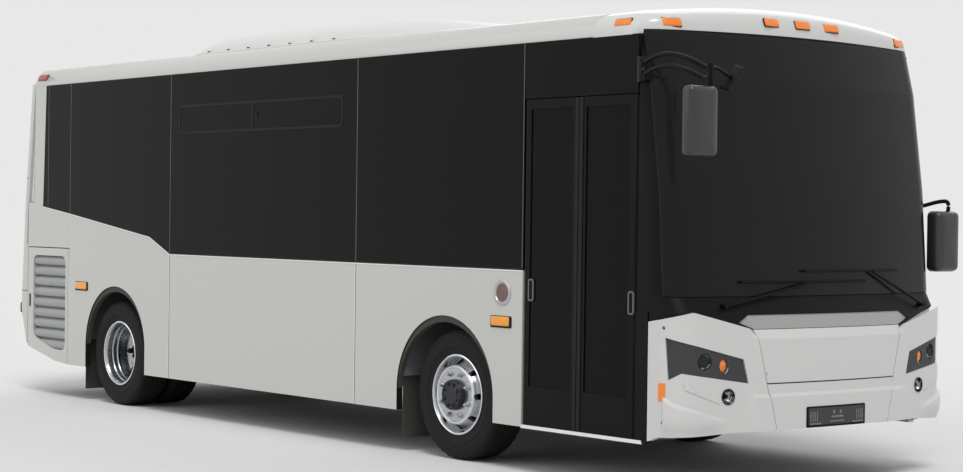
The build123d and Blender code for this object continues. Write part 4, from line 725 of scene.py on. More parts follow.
def sheet(outline, side, proud, thick, holes=(), step=0.2):
    """A flat sheet on a side of the bus from (station, height) points in millimetres."""
    ring, *cuts = [[(at(s / 1000), z / 1000) for s, z in loop] for loop in (outline, *holes)]
    return skin(ring, lambda u, v, d: Vector((u, side * (HALF + proud - d), v)), cuts, [], step, rim=thick)


mask()


# Front lamps. Bowls hold (share of the radius, how far out) rows, bulbs (radius, how far out) rows
HEAD = (1.033, 0.781)
INDICATOR = (0.899, 0.756)
INDICATOR_TALL = 1.3
HEAD_BOWL = ((1.0, -0.010), (0.97, -0.020), (0.86, -0.036), (0.62, -0.050), (0.30, -0.058), (0.02, -0.060))
FOG_BOWL = ((1.0, 0.006), (1.0, -0.006), (0.93, -0.014), (0.80, -0.026), (0.55, -0.036), (0.02, -0.043))
HEAD_BULB = ((0.030, -0.056), (0.030, -0.034), (0.028, -0.024), (0.021, -0.017), (0.010, -0.013),
             (0.002, -0.012))
FOG_BULB = ((0.013, -0.042), (0.013, -0.018), (0.009, -0.012), (0.001, -0.010))
LAMP_FINISHES = ["chrome", "amber", "lens", "dark_chrome", "gloss_black", "bowl"]
# Rings, with part rings of chrome that are painted glints and a fog lamp's part ring of black that is
# painted shade: middle, radius, how far out, thickness, tallness, first and last share of a turn, finish
LAMP_RINGS_AND_GLINTS = (
    (HEAD, 0.0495, -0.012, 0.0016, 1.0, (0, 1), "gloss_black"),
    (HEAD, 0.032, -0.030, 0.0022, 1.0, (0, 1), "dark_chrome"),
    (HEAD, 0.038, -0.016, 0.0042, 1.0, (0.56, 0.70), "chrome"),
    (HEAD, 0.040, -0.016, 0.0036, 1.0, (0.76, 0.84), "chrome"),
    (HEAD, 0.040, -0.018, 0.0024, 1.0, (0.28, 0.40), "chrome"),
    (INDICATOR, 0.030, -0.012, 0.0022, INDICATOR_TALL, (0, 1), "gloss_black"),
    ((0.896, 0.750), 0.030, -0.010, 0.0034, INDICATOR_TALL, (0.52, 0.72), "chrome"),
    (FOG[:2], FOG[2] * 0.98, 0.004, 0.0022, 1.0, (0, 1), "dark_chrome"),
    (FOG[:2], 0.036, -0.012, 0.0040, 1.0, (0.05, 0.28), "gloss_black"),
    (FOG[:2], 0.034, -0.014, 0.0040, 1.0, (0.50, 0.72), "chrome"),
)


def lamp_stack(heart, rows, sides, tall=1.0, capped=False):
    """Rings on the right half of the front, each (radius, how far out), joined."""
    return loft([[front_point(-s, z, out) for s, z in circle(*heart, radius, sides, tall)]
                 for radius, out in rows], capped)


def front_lamps():
    """Dark pans with a projector, an indicator and the fog lamps, right side first."""
    pan = Form()
    holes = [circle(*HEAD, 0.050), circle(*INDICATOR, 0.030, 20, INDICATOR_TALL)]
    pan.add(skin(scaled(LAMP, 1.02), lambda s, z, d: front_point(-s, z, -0.011 - d), holes, [], 0.035,
                 rim=0.03))
    lamp = Form()
    finish = LAMP_FINISHES.index
    lamp.add(lamp_stack(HEAD, [(0.049 * share, out) for share, out in HEAD_BOWL], 28),
             finish("dark_chrome"))
    dome = [(0.029 * share, -0.004 - 0.016 * share) for share, _ in HEAD_BOWL]
    lamp.add(lamp_stack(INDICATOR, dome, 28, INDICATOR_TALL), finish("amber"))
    lamp.add(lamp_stack(HEAD, HEAD_BULB, 24, capped=True), finish("gloss_black"))
    fog_bowl = [(FOG[2] * 0.97 * share, out) for share, out in FOG_BOWL]
    lamp.add(lamp_stack(FOG[:2], fog_bowl, 32), finish("bowl"))
    lamp.add(lamp_stack(FOG[:2], FOG_BULB, 16, capped=True), finish("gloss_black"))
    # Whole rings are rims; part rings of chrome are painted glints, and the fog lamp's part ring of black is
    # painted shade
    for (s, z), radius, out, thick, tall, (first, last), look_name in LAMP_RINGS_AND_GLINTS:
        whole = last - first == 1
        turns = [2 * pi * (first + (last - first) * k / 32) for k in range(32 if whole else 33)]
        path = [front_point(-s - radius * cos(t), z + tall * radius * sin(t), out) for t in turns]
        lamp.add(tube(path, thick, 8, whole, (1, 0, 0)), finish(look_name))
    cover = Form().add(skin(scaled(LAMP, 0.985), lambda s, z, d: front_point(-s, z, -0.002 - d), [], [],
                            0.035, rim=0.004))
    both_sides("lamp_pan_{}", pan, ["pan"], 30, ["headlamp_housings"])
    both_sides("lamp_bowls_{}", lamp, LAMP_FINISHES, 40, ["headlamp_lenses"])
    both_sides("lamp_cover_{}", cover, ["lens"], 40)


front_lamps()


# Wheels, drawn about the wheel's middle with the outer face towards +Y
TREAD_R = 0.4335  # radius over the tread
TREAD_HALF = 12  # profile rows from the tyre's middle to the tread's edge


def tyre_profile():
    """The tyre's section as (radius, side) rows, from the inner bead over the tread to the outer bead."""
    half = [(0.0, 0), (0.022, 0), (0.026, -0.009), (0.034, -0.009), (0.038, 0), (0.066, 0), (0.070, -0.009),
            (0.078, -0.009), (0.082, -0.0005), (0.098, -0.002), (0.108, -0.0045), (0.114, -0.009),
            (0.1175, -0.014)]
    tread = [(TREAD_R + fall, side) for side, fall in half]
    wall = [(0.412, 0.1215), (0.4085, 0.1245), (0.405, 0.1265), (0.400, 0.1275), (0.398, 0.1262),
            (0.388, 0.1290), (0.372, 0.1315), (0.352, 0.1325), (0.330, 0.1315), (0.328, 0.1325),
            (0.322, 0.1325), (0.320, 0.1305), (0.302, 0.1270), (0.288, 0.1215), (0.284, 0.1220),
            (0.279, 0.1205), (0.274, 0.1185), (0.268, 0.1160), (0.262, 0.1130), (0.250, 0.1110)]
    right = tread + wall
    left = [(r, -y) for r, y in reversed(right)]
    return left[:-1] + right


def tyre_form():
    profile = tyre_profile()
    count = len(profile)
    middle = count // 2

    def wave(row, step):
        """Cross grooves in the shoulders and short cuts in the ribs."""
        reach = abs(row - middle)
        if 8 <= reach <= TREAD_HALF and step % 4 == 0:
            return -0.0045 - (0.003 if reach > 9 else 0)
        if reach in (0, 1, 4, 5) and step % 8 == (0 if row > middle else 4):
            return -0.0025
        return 0.0

    form = Form().add(lathe(profile, 160, False, wave))
    for index in range(len(form.faces)):
        row = index % (count - 1)
        form.finishes[index] = 1 if middle - TREAD_HALF <= row < middle + TREAD_HALF else 0
    return form


def lip(side):
    """The rim's flange and well on one side, from the bead seat inward."""
    rows = [(0.248, 0.094), (0.2490, 0.1115), (0.2600, 0.1125), (0.2655, 0.1145), (0.2675, 0.1190),
            (0.2660, 0.1240), (0.2610, 0.1265), (0.2560, 0.1250), (0.2500, 0.1180), (0.2450, 0.1090),
            (0.2420, 0.0960)]
    return [(r, side * y) for r, y in rows]


def barrel_profile(ridges):
    """A closed section: outer flange, the well seen from outside, inner flange."""
    return [*lip(1), *ridges, *reversed(lip(-1))]


def bolt_ring(form, radius, count, base, height, finish):
    """Wheel nuts with washers and stud ends on one ring."""
    nut = base + height
    parts = ((12, ((0.021, base), (0.021, base + 0.004))),
             (6, ((0.0165, base + 0.004), (0.0165, nut - 0.004), (0.0145, nut))),
             (10, ((0.0095, nut), (0.0095, nut + 0.010), (0.0075, nut + 0.013))))
    for i in range(count):
        turn = 2 * pi * (i + 0.5) / count
        for sides, rows in parts:
            form.add(turned((radius * cos(turn), 0, radius * sin(turn)), rows, sides), finish)


def disc_with_holes(profile, ring, hole_radius):
    """A turned disc, cut by eight round hand holes along its axis."""
    cutters = Form()
    for i in range(8):
        turn = 2 * pi * i / 8
        heart = (ring * cos(turn), 0, ring * sin(turn))
        cutters.add(turned(heart, ((hole_radius, -0.2), (hole_radius, 0.2)), 24))
    disc = linked("disc", mesh_of("disc", Form().add(lathe(profile, 96, True))))
    cutter = linked("cutter", mesh_of("cutter", cutters))
    face_outward(disc.data)
    face_outward(cutter.data)
    cut = disc.modifiers.new("holes", "BOOLEAN")
    cut.object = cutter
    cut.solver = "EXACT"
    bpy.context.view_layer.update()
    result = bpy.data.meshes.new_from_object(disc.evaluated_get(bpy.context.evaluated_depsgraph_get()))
    shape = ([v.co.copy() for v in result.vertices], [list(p.vertices) for p in result.polygons])
    for leftover in (disc, cutter):
        bpy.data.objects.remove(leftover)
    return shape


# Rims: (radius, side) rows. The shine rings are brighter, smoother alloy over the flange's curl or the
# disc's shoulder: painted highlights where the curves catch light
FRONT_WELL = [(0.2400, 0.060), (0.2385, 0.040), (0.2370, 0.010), (0.2300, -0.010), (0.2280, -0.050),
              (0.2380, -0.070)]
FRONT_DISC = [(0.085, 0.126), (0.170, 0.126), (0.186, 0.117), (0.200, 0.096), (0.226, 0.064),
              (0.2395, 0.058), (0.2395, 0.076), (0.2330, 0.0785), (0.2200, 0.0920), (0.2080, 0.1120),
              (0.2000, 0.1290), (0.1950, 0.1400), (0.1890, 0.1450), (0.1820, 0.1440), (0.1770, 0.1405),
              (0.085, 0.1400)]
SHOULDER_HIGHLIGHT = [(0.1975, 0.1375), (0.1950, 0.1425), (0.1890, 0.1468), (0.1820, 0.1458), (0.1785, 0.1420),
                  (0.1880, 0.1420)]
FLANGE_HIGHLIGHT = [(0.2662, 0.1160), (0.2685, 0.1190), (0.2672, 0.1245), (0.2612, 0.1275), (0.2552, 0.1258),
                (0.2600, 0.1220)]
FRONT_HUB = [(0.103, 0.138), (0.103, 0.150), (0.1010, 0.155), (0.1000, 0.172), (0.0970, 0.177),
             (0.0860, 0.1785), (0.0840, 0.1760), (0.0640, 0.1755), (0.0620, 0.1785), (0.0300, 0.1790),
             (0.0005, 0.1790)]
REAR_WELL = [(0.2410, 0.060), (0.2360, 0.052), (0.2350, 0.020), (0.2300, 0.012), (0.2290, -0.020),
             (0.2340, -0.030), (0.2340, -0.075)]
REAR_DISC = [(0.085, -0.014), (0.185, -0.014), (0.215, -0.060), (0.2345, -0.070), (0.2345, -0.058),
             (0.2220, -0.048), (0.1970, 0.0), (0.2220, 0.048), (0.2345, 0.058), (0.2345, 0.070),
             (0.2150, 0.060), (0.1930, 0.022), (0.1880, 0.017), (0.1820, 0.014), (0.085, 0.014)]
REAR_HUB = [(0.109, 0.012), (0.109, 0.024), (0.1050, 0.030), (0.1040, 0.082), (0.1000, 0.090),
            (0.0920, 0.0935), (0.0720, 0.0945), (0.0700, 0.0900), (0.0005, 0.0900)]


def front_rim_form():
    form = Form().add(lathe(barrel_profile(FRONT_WELL), 96, True), 0)
    form.add(disc_with_holes(FRONT_DISC, 0.2145, 0.0215), 0)
    # Painted highlight rings on the disc's shoulder and the flange
    form.add(lathe(SHOULDER_HIGHLIGHT, 96, True), 1)
    form.add(lathe(FLANGE_HIGHLIGHT, 96, True), 1)
    form.add(lathe(FRONT_HUB, 48), 2)
    bolt_ring(form, 0.1450, 8, 0.140, 0.018, 0)
    bolt_ring(form, 0.074, 8, 0.168, 0.010, 2)
    return form


def rear_rim_form():
    """Both rims of a twin pair, drawn about the middle between them."""
    form = Form()
    for side in (1, -1):
        section = [(r, side * (y + DUAL)) for r, y in barrel_profile(REAR_WELL)]
        form.add(lathe(section, 96, True), 0)
    form.add(disc_with_holes(REAR_DISC, 0.2105, 0.023), 0)
    # A painted highlight ring on the outer flange
    form.add(lathe([(r, y + DUAL) for r, y in FLANGE_HIGHLIGHT], 96, True), 1)
    form.add(lathe(REAR_HUB, 48), 2)
    bolt_ring(form, 0.1375, 8, 0.014, 0.022, 2)
    bolt_ring(form, 0.086, 8, 0.0925, 0.004, 2)
    return form


def turned_to(side, centre):
    """Places a wheel piece: its outer face points to the bus's side."""
    turn = Matrix.Rotation(0 if side > 0 else pi, 4, "Z")
    return Matrix.Translation((centre[0], side * centre[1], centre[2])) @ turn


def wheels():
    tyre, front_rim, rear_rim = tyre_form(), front_rim_form(), rear_rim_form()
    for side, name in ((1, "left"), (-1, "right")):
        front = turned_to(side, FRONT_WHEEL)
        body = name + "_front_wheel"
        piece(name + "_front_tyre_form", tyre, ["tyre", "tread"], body, 40, [name + "_front_tyre"],
              front)
        piece(name + "_front_rim_form", front_rim, ["alloy", "bright", "hub"], body, 30,
              [name + "_front_rim"], front)
        body = name + "_rear_wheels"
        for spot, shift in (("outer", DUAL), ("inner", -DUAL)):
            centre = (REAR_WHEEL[0], REAR_WHEEL[1] + shift, REAR_WHEEL[2])
            piece(f"{name}_rear_{spot}_tyre_form", tyre, ["tyre", "tread"], body, 40,
                  [name + "_rear_tyres"], turned_to(side, centre))
        piece(name + "_rear_rim_form", rear_rim, ["alloy", "bright", "hub"], body, 30,
              [name + "_rear_rims"], turned_to(side, REAR_WHEEL))


wheels()


# Profiles of the front cap and of the rear wall as (height, station) rows
CAP_PROFILE = ((2.45, 0.228), (2.741, 0.305), (2.86, 0.345), (2.92, 0.6))
REAR_PROFILE = ((0.411, 8.535), (0.738, 8.65), (1.69, 8.59), (2.741, 8.47), (2.86, 8.42), (2.92, 8.25))


def wall_station(y, z):
    """The station of the rear wall's skin at a side and height."""
    reach = HALF - CORNER
    turn = asin(reach / (REAR_BOW - CORNER))
    tail = value_at(REAR_PROFILE, z)
    if abs(y) <= REAR_BOW * sin(turn):
        return tail - REAR_BOW + sqrt(REAR_BOW ** 2 - y ** 2)
    heart = tail - REAR_BOW + (REAR_BOW - CORNER) * cos(turn)
    return heart + sqrt(max(0.0, CORNER ** 2 - (abs(y) - reach) ** 2))


# Mirrors. An arm holds (station, how far out from the side, height) rows, the right one's last two in mm
RIGHT_ARM = ((0.445, 8, 2535), (0.300, 45, 2567), (0.150, 70, 2570), (0.0, 66, 2534), (-0.080, 36, 2492),
             (-0.138, 36, 2474))
RIGHT_FOOT = 2.50  # heights of the feet
LEFT_FOOT = 1.71
LEFT_ARM = ((0.445, 0.008, 1.700), (0.39, 0.06, 1.722), (0.30, 0.125, 1.752), (0.25, 0.150, 1.745),
            (0.25, 0.150, 1.660))
CLAMP = (at(-0.138), -HALF - 0.036)  # plan point where the heads hang from the right arm
LOOK_DOWN = (at(-0.120), -1.06, 2.430)
MIRROR_FINISHES = ["black", "hub", "mirror_shell"]


def mirror_head(centre, size, round_off):
    """A moulded shell that swells ahead and has a flat back."""
    depth, width, height = size
    rings = []
    for place, grow in ((-0.5, -0.012), (-0.47, -0.004), (-0.40, 0.0), (0.10, 0.0), (0.32, -0.010),
                        (0.44, -0.028), (0.50, -0.060)):
        outline = rounded_outline(width + 2 * grow, height + 2 * grow, max(0.02, round_off + grow), 6)
        rings.append([Vector(centre) + Vector((place * depth, u, v)) for u, v in outline])
    return loft(rings)


def mirror_foot(side, height):
    """A base plate on the corner post, with three screws of the second finish."""
    outline = rounded_outline(0.066, 0.150, 0.016, 4)
    rings = []
    for wide, tall, out in ((1, 1, -0.03), (1, 1, 0.010), (0.96, 0.984, 0.016), (0.90, 0.96, 0.018)):
        rings.append([Vector((at(0.445) + u * wide, side * (HALF + out), height + v * tall))
                      for u, v in outline])
    form = Form().add(loft(rings))
    for rise in (-0.048, 0, 0.048):
        screw = Vector((at(0.425), side * (HALF + 0.016), height + rise))
        form.add(tube([screw, screw + Vector((0, side * 0.008, 0))], 0.007, 6), 1)
    return form


def mirrors():
    right = mirror_foot(-1, RIGHT_FOOT)
    plate = [(at(0.484), -HALF - 0.004, RIGHT_FOOT + rise) for rise in (-0.075, 0.075)]
    right.add(sweep(plate, bead(0.004, -0.012, 0.012), (1, 0, 0)), 1)
    for drop in (0, 0.070):
        line = [(at(s), -HALF - out / 1000, z / 1000 - drop) for s, out, z in RIGHT_ARM]
        right.add(tube(smooth_path(line, 8), 0.0135, 14))
        for end in (line[0], line[-1]):
            knuckle = [Vector(end) + Vector((0, 0, rise)) for rise in (-0.022, 0.022)]
            right.add(tube(knuckle, 0.021, 16, up=(1, 0, 0)))
    right.add(tube([(*CLAMP, 2.500), (*CLAMP, 2.36)], 0.0135, 14, up=(1, 0, 0)))
    blade = [(CLAMP[0] - 0.014, CLAMP[1] - 0.002, z) for z in (2.485, 2.375)]
    right.add(sweep(blade, bead(0.003, -0.006, 0.006), (1, 0, 0)), 1)
    branch = [(*CLAMP, 2.474), (at(-0.128), -1.19, 2.478), (at(-0.124), -1.12, 2.452),
              (at(-0.120), -1.06, 2.432)]
    right.add(tube(smooth_path(branch, 8), 0.011, 12))
    right.add(mirror_head((at(-0.165), -HALF - 0.130, 2.170), (0.080, 0.230, 0.400), 0.034), 2)
    lean = Matrix.Rotation(radians(45), 3, "X") @ Matrix.Rotation(radians(25), 3, "Y")
    rings = []
    for share, out in ((0.94, -0.011), (1.0, -0.006), (1.0, 0.004), (0.9, 0.010)):
        rings.append([Vector(LOOK_DOWN) + lean @ Vector((u * share, v * share, out))
                      for u, v in rounded_outline(0.070, 0.190, 0.012, 4)])
    right.add(loft(rings))
    piece("right_mirror", right, MIRROR_FINISHES, "body", 40, ["mirrors"])
    left = mirror_foot(1, LEFT_FOOT)
    left.add(tube(smooth_path([(at(s), HALF + out, z) for s, out, z in LEFT_ARM], 8), 0.0135, 14))
    left.add(mirror_head((at(0.25), HALF + 0.115, 1.490), (0.110, 0.230, 0.400), 0.040), 2)
    piece("left_mirror", left, MIRROR_FINISHES, "body", 40)


mirrors()


# Engine side doors with silver louvres
def round_corners(outline, radius, steps=5):
    """Replaces each corner of an outline with an arc."""
    made = []
    for i, here in enumerate(outline):
        before, after = Vector(outline[i - 1]), Vector(outline[(i + 1) % len(outline)])
        heart = Vector(here)
        a, b = (before - heart), (after - heart)
        reach = min(radius, a.length * 0.45, b.length * 0.45)
        start, end = heart + a.normalized() * reach, heart + b.normalized() * reach
        for k in range(steps + 1):
            t = k / steps
            made.append(tuple((1 - t) ** 2 * start + 2 * t * (1 - t) * heart + t ** 2 * end))
    return made


LOUVRE_FIELD = (7.690, 8.294, 0.402, 1.226)  # front and rear station, lower and upper edge
SLATS = 9
# A slat's section: share of its pitch, and how far out
SLAT_SECTION = ((0.0, -0.040), (0.05, -0.022), (0.16, -0.010), (0.38, -0.004), (0.60, -0.007),
                (0.80, -0.018), (0.93, -0.032))
SLAT_FOOT = -0.040
DOOR_HINGE = 7.648
HINGE_DEPTH = 0.025
# The door's outline and its opening, in millimetres
DOOR_OUTLINE = [(7655, 291), (7655, 1288), (8392, 1288), (8392, 411), (7872, 307)]
LOUVRE_HOLE = [(7690, 1222), (8294, 1222), (8294, 506), (7905, 406), (7690, 406)]


def louvres(side):
    """Bulged slats behind the field's outline."""
    front, rear, low, high = LOUVRE_FIELD
    pitch = (high - low) / SLATS
    rows = [(low + (slat + share) * pitch, depth) for slat in range(SLATS) for share, depth in SLAT_SECTION]
    rows.append((high, SLAT_FOOT))
    stations = [rear + 0.002 + (front - rear - 0.004) * k / 8 for k in range(9)]
    return grid([[(at(s), side * (HALF + depth), z) for s in stations] for z, depth in rows])


def engine_doors():
    for side, name in ((1, "left"), (-1, "right")):
        hole = round_corners(LOUVRE_HOLE, 70)
        form = Form().add(sheet(DOOR_OUTLINE, side, 0.0, 0.045, holes=[hole], step=0.3), 0)
        form.add(louvres(side), 1)
        axis = (at(DOOR_HINGE), side * (HALF - HINGE_DEPTH))
        form.add(tube([(*axis, 0.289), (*axis, 1.290)], 0.0235, 20, up=(1, 0, 0)), 0)
        form.add(tube([(*axis, 1.27), (*axis, 1.309)], 0.008, 12, up=(1, 0, 0)), 2)
        latch = [(at(8.352), side * (HALF + 0.001), z) for z in (0.765, 0.875)]
        form.add(sweep(latch, bead(0.011, -0.003, 0.003), (0, side, 0)), 2)
        piece(name + "_engine_door_form", form, ["body", "louvre", "gloss_black"], name + "_engine_door",
              35, [name + "_engine_door"])


engine_doors()


# Plate holder, badge disc and door furniture
HOLDER = [(-0.2645, 0.365), (0.2645, 0.365), (0.2645, 0.492), (-0.2645, 0.492)]
PLATE = [(-0.250, 0.378), (0.250, 0.378), (0.250, 0.482), (-0.250, 0.482)]
# Raised ribs and clips of the empty holder: run, height, width, tallness
HOLDER_RIBS = [(side * run, 0.43, 0.008, 0.062) for side in (-1, 1) for run in (0.178, 0.196, 0.214, 0.232)]
HOLDER_CLIPS = [(-0.03, 0.452, 0.020, 0.024), (0.03, 0.452, 0.020, 0.024), (0.0, 0.424, 0.11, 0.012),
                (0.0, 0.396, 0.13, 0.008), (-0.19, 0.386, 0.10, 0.010), (0.19, 0.386, 0.10, 0.010)]
BADGE = (1.734, 1.131)
BADGE_DISC = [(0.0005, 0.006), (0.040, 0.0055), (0.058, 0.0045), (0.060, 0.003), (0.066, 0.003),
              (0.068, 0.006), (0.080, 0.0062), (0.0845, 0.004), (0.085, -0.002)]
BADGE_FACE_ROWS = 3
STEP_EDGE = [(428, 282), (1534, 282), (1534, 304), (428, 304)]


def plate_holder():
    form = Form()
    for outline, out, rim, finish in ((HOLDER, 0.004, 0.006, 0), (PLATE, 0.0062, 0.002, 1)):
        ring = round_corners(outline, 0.008, 3)
        form.add(skin(ring, lambda u, v, d, out=out: front_point(u, v, MIDDLE_OUT + out - d), [], [], 0.06,
                      rim=rim), finish)
    for u, v, wide, tall in HOLDER_RIBS + HOLDER_CLIPS:
        outline = rounded_outline(wide, tall, min(wide, tall) * 0.4, 3)
        rings = [[front_point(u + a * share, v + b * share, MIDDLE_OUT + rise) for a, b in outline]
                 for share, rise in ((1.0, 0.004), (1.0, 0.0075), (0.8, 0.0085))]
        form.add(loft(rings), 2)
    rail = [front_point(u * 0.025, 0.372, 0.019) for u in range(-10, 11)]
    form.add(sweep(rail, bead(0.003, -0.004, 0.004)), 0)
    piece("front_plate_holder", form, ["black", "dark_plate", "bracket"], "body", 30)


def badge():
    form = Form()
    points, faces = lathe([(r, -y) for r, y in BADGE_DISC], 48)
    form.add(([(x + at(BADGE[0]), y - HALF, z + BADGE[1]) for x, y, z in points], faces), 0)
    form.finishes = [1 if i % (len(BADGE_DISC) - 1) < BADGE_FACE_ROWS else 0 for i in range(len(faces))]
    piece("badge_disc", form, ["alloy", "badge"], "body", 30)


def door_furniture():
    piece("step_edge", Form().add(sheet(STEP_EDGE, -1, 0.0025, 0.010)), ["step"], "body")
    for name, station, z in (("front", 0.532, 1.113), ("rear", 1.453, 1.157)):
        def leaf_ring(wide, tall, radius, out):
            return [Vector((at(station) + u, -HALF + out, z + v))
                    for u, v in rounded_outline(wide, tall, radius, 4)]

        form = Form().add(sweep(leaf_ring(0.042, 0.130, 0.012, -0.0005), bead(0.005, -0.003, 0.003),
                                (0, 1, 0), True))
        cup = ((0.036, 0.124, -0.0008), (0.034, 0.122, 0.001), (0.028, 0.114, 0.0015))
        form.add(loft([leaf_ring(wide, tall, 0.010, out) for wide, tall, out in cup]), 1)
        piece(name + "_leaf_handle", form, ["shell", "gloss_black"], name + "_door_leaf", 40)
    for name, station in (("front", 0.992), ("rear", 1.031)):
        path = [(at(station), -HALF - 0.0015, z) for z in (0.312, 2.353)]
        form = Form().add(sweep(path, bead(0.016, -0.003, 0.003), (0, -1, 0)))
        piece(name + "_leaf_rubber", form, ["seal"], name + "_door_leaf", 40)


plate_holder()
badge()
door_furniture()


# Painted edge highlights, seams and glass joints
SEAMS = (3.356, 5.922, 7.615)
DOOR_SEAM = SEAMS[-1]  # the opening engine door needs the side behind this seam free
SILL = ((0, 1.278), (5.922, 1.282), (6.246, 1.414), (7.615, 1.592), (8.125, 1.653))
VENT = [(5.785, 2.245), (3.536, 2.245), (3.536, 2.455), (5.785, 2.455)]  # the opening windows' frame


def strip_along(points, side, width, proud, lift=0.0):
    """A flat bead along (station, height) points on a side of the bus."""
    path = [(at(s), side * (HALF + proud / 2), z + lift) for s, z in points]
    return sweep(path, bead(width / 2, -proud / 2 - 0.002, proud / 2), (0, side, 0))


def edge_highlights_seals_and_joints():
    for side, name, first in ((-1, "right", 1.541), (1, "left", 0.50)):
        # edge holds painted highlights: white strips along the belt and beside each seam, where the panels'
        # edges catch light
        edge, seal, joint = Form(), Form(), Form()
        belt = [(first, value_at(SILL, first)), *[p for p in SILL if p[0] > first]]
        edge.add(strip_along(belt, side, 0.006, 0.0022, -0.005))
        seal.add(strip_along(belt, side, 0.009, 0.0018, 0.006))
        for seam in SEAMS:
            sill = value_at(SILL, seam)
            beside = seam + (0.0055 if seam < DOOR_SEAM else -0.0055)
            # A painted highlight on the panel edge beside the seam
            edge.add(strip_along([(beside, SKIRT), (beside, sill)], side, 0.006, 0.0018))
            seal.add(strip_along([(seam, SKIRT), (seam, sill)], side, 0.005, 0.0006))
            glass = [(seam, sill + 0.012), (seam, GLASS_TOP)]
            joint.add(strip_along(glass, side, 0.006, 0.0016))
            seal.add(strip_along([(s + 0.006, z) for s, z in glass], side, 0.005, 0.0012))
        for station in (8.026, 1.541):
            line = [(station, value_at(SILL, station) + 0.012), (station, GLASS_TOP)]
            joint.add(strip_along(line, side, 0.006, 0.0016))
        seal.add(strip_along([(8.112, 1.670), (8.070, GLASS_TOP)], side, 0.012, 0.0018))
        ring = [(at(s), side * (HALF + 0.0005), z) for s, z in round_corners(VENT, 0.05)]
        seal.add(sweep(ring, bead(0.009, -0.002, 0.0022), (0, side, 0), True))
        seal.add(strip_along([(4.718, 2.245), (4.718, 2.455)], side, 0.022, 0.0026))
        seal.add(strip_along([(4.66, 2.345), (4.66, 2.375)], side, 0.020, 0.006))
        piece(name + "_painted_edge_highlights", edge, ["edge"], "body")
        piece(name + "_window_seals", seal, ["seal"], "body")
        piece(name + "_glass_joints", joint, ["line"], "body")


edge_highlights_seals_and_joints()


# Rear corner panels with a tighter corner than the wall behind them
REAR_R = 0.10
TIGHT_REACH = 1.12  # side where the tight corner begins
REAR_SAG = 24  # the flat part's bow: y squared over this
PANEL_FRONT = 8.404
ENGINE_DOOR_TOP = 1.315
WINDOW_FOOT = 1.6
PANEL_OUT = 1.2208
CORNER_ROWS = (0.432, 0.52, 0.62, 0.738, 0.86, 1.0, 1.16, 1.312, 1.32, 1.60, 1.90, 2.2, 2.5, 2.66, 2.735)


def corner_station(y, z):
    """The station of the corner panel's face: it leaves the wall and turns a tighter corner."""
    y = abs(y)
    wall = wall_station(min(y, 1.20), z) + 0.003
    flat = value_at(REAR_PROFILE, z) - min(y, TIGHT_REACH) ** 2 / REAR_SAG
    return wall + (flat - wall) * ease(y, 0.965, 1.10)


def rear_skin(y, z, out=0.0):
    return Vector((at(corner_station(y, z) + out), y, z))


def corner_turn(z):
    """The station where the tight corner meets the side."""
    return value_at(REAR_PROFILE, z) - TIGHT_REACH ** 2 / REAR_SAG - REAR_R


def corner_arc(z, side, grow=0.0):
    """Nine (station, side) points round the tight corner."""
    turns = [pi / 2 * k / 8 for k in range(9)]
    return [(corner_turn(z) + (REAR_R + grow) * sin(a), side - REAR_R * (1 - cos(a))) for a in turns]


def corner_row(z, side):
    front = PANEL_FRONT if z < ENGINE_DOOR_TOP else corner_turn(z) - 0.03
    inner = 0.875 if z < WINDOW_FOOT else 0.97
    row = [(front, 1.19), (front, 1.2195), *corner_arc(z, PANEL_OUT)]
    steps = [TIGHT_REACH + (inner - TIGHT_REACH) * k / 7 for k in range(1, 8)]
    row += [(corner_station(y, z), y) for y in steps]
    row.append((corner_station(inner, z) - 0.01, inner))
    return [(at(max(s, front)), side * y, z) for s, y in row]


def rear_corners():
    for side, name in ((-1, "right"), (1, "left")):
        rows = [corner_row(z, side) for z in CORNER_ROWS]
        form = Form().add(grid(rows))
        for row in (rows[-1], rows[0]):
            heart = Vector((at(PANEL_FRONT), side * 0.875, row[0][2]))
            form.add(([*row, heart], [[k, k + 1, len(row)] for k in range(len(row) - 1)]))
        line = Form()
        for z in (1.905, 0.90):
            path = [(8.410, 1.2212), (corner_turn(z), 1.2212), *corner_arc(z, 1.2212, 0.0008)[1:]]
            path += [(corner_station(y, z) + 0.0008, y) for y in (1.08, 1.03, 0.98, 0.93, 0.90)]
            line.add(sweep([(at(s), side * y, z) for s, y in path], bead(0.0015, -0.0025, 0.0025)))
        piece(name + "_rear_corner", form, ["body"], "body", 40)
        piece(name + "_rear_corner_joint", line, ["seal"], "body", 40)


rear_corners()


# Front cap: a dome over the screen, drawn in plan and raised by its distance from the rim
CAP_REAR = 0.900
CAP_CROWN = 2.920
CROWN_SAG = 22.2  # the roof's bow across: y squared over this
SIDE_SPREAD = 0.155  # how far in from the rim the dome keeps rising, at the sides
FRONT_SPREAD = 0.250  # and at the front
ARCH = 0.010  # rise of the rim and of the crown in the middle
ARCH_HALF = 1.12
RIM_IN = 0.001
CAP_INSETS = (0.004, 0.012, 0.024, 0.042, 0.066, 0.096, 0.130, 0.170, 0.215, 0.260)


def cap_rim():
    """Half of the cap's outline in plan as (x, y), from the middle of the screen back along the side."""
    rows = [front_point(CORNER_REACH * k / 29, CAP_FOOT, -RIM_IN).xy for k in range(30)]
    length = rows[-1][0] - at(CAP_REAR)
    side = [(at(CAP_REAR) + length * (1 - k / 5), HALF - RIM_IN) for k in range(1, 6)]
    return [*(tuple(p) for p in rows), *side]


def facing(way):
    """1 where the rim runs across the front, 0 where it runs along a side."""
    return ease(abs(way.y) / way.length, 0.15, 0.75)


def arch(y):
    return ARCH * (1 - min(1.0, (y / ARCH_HALF) ** 2))


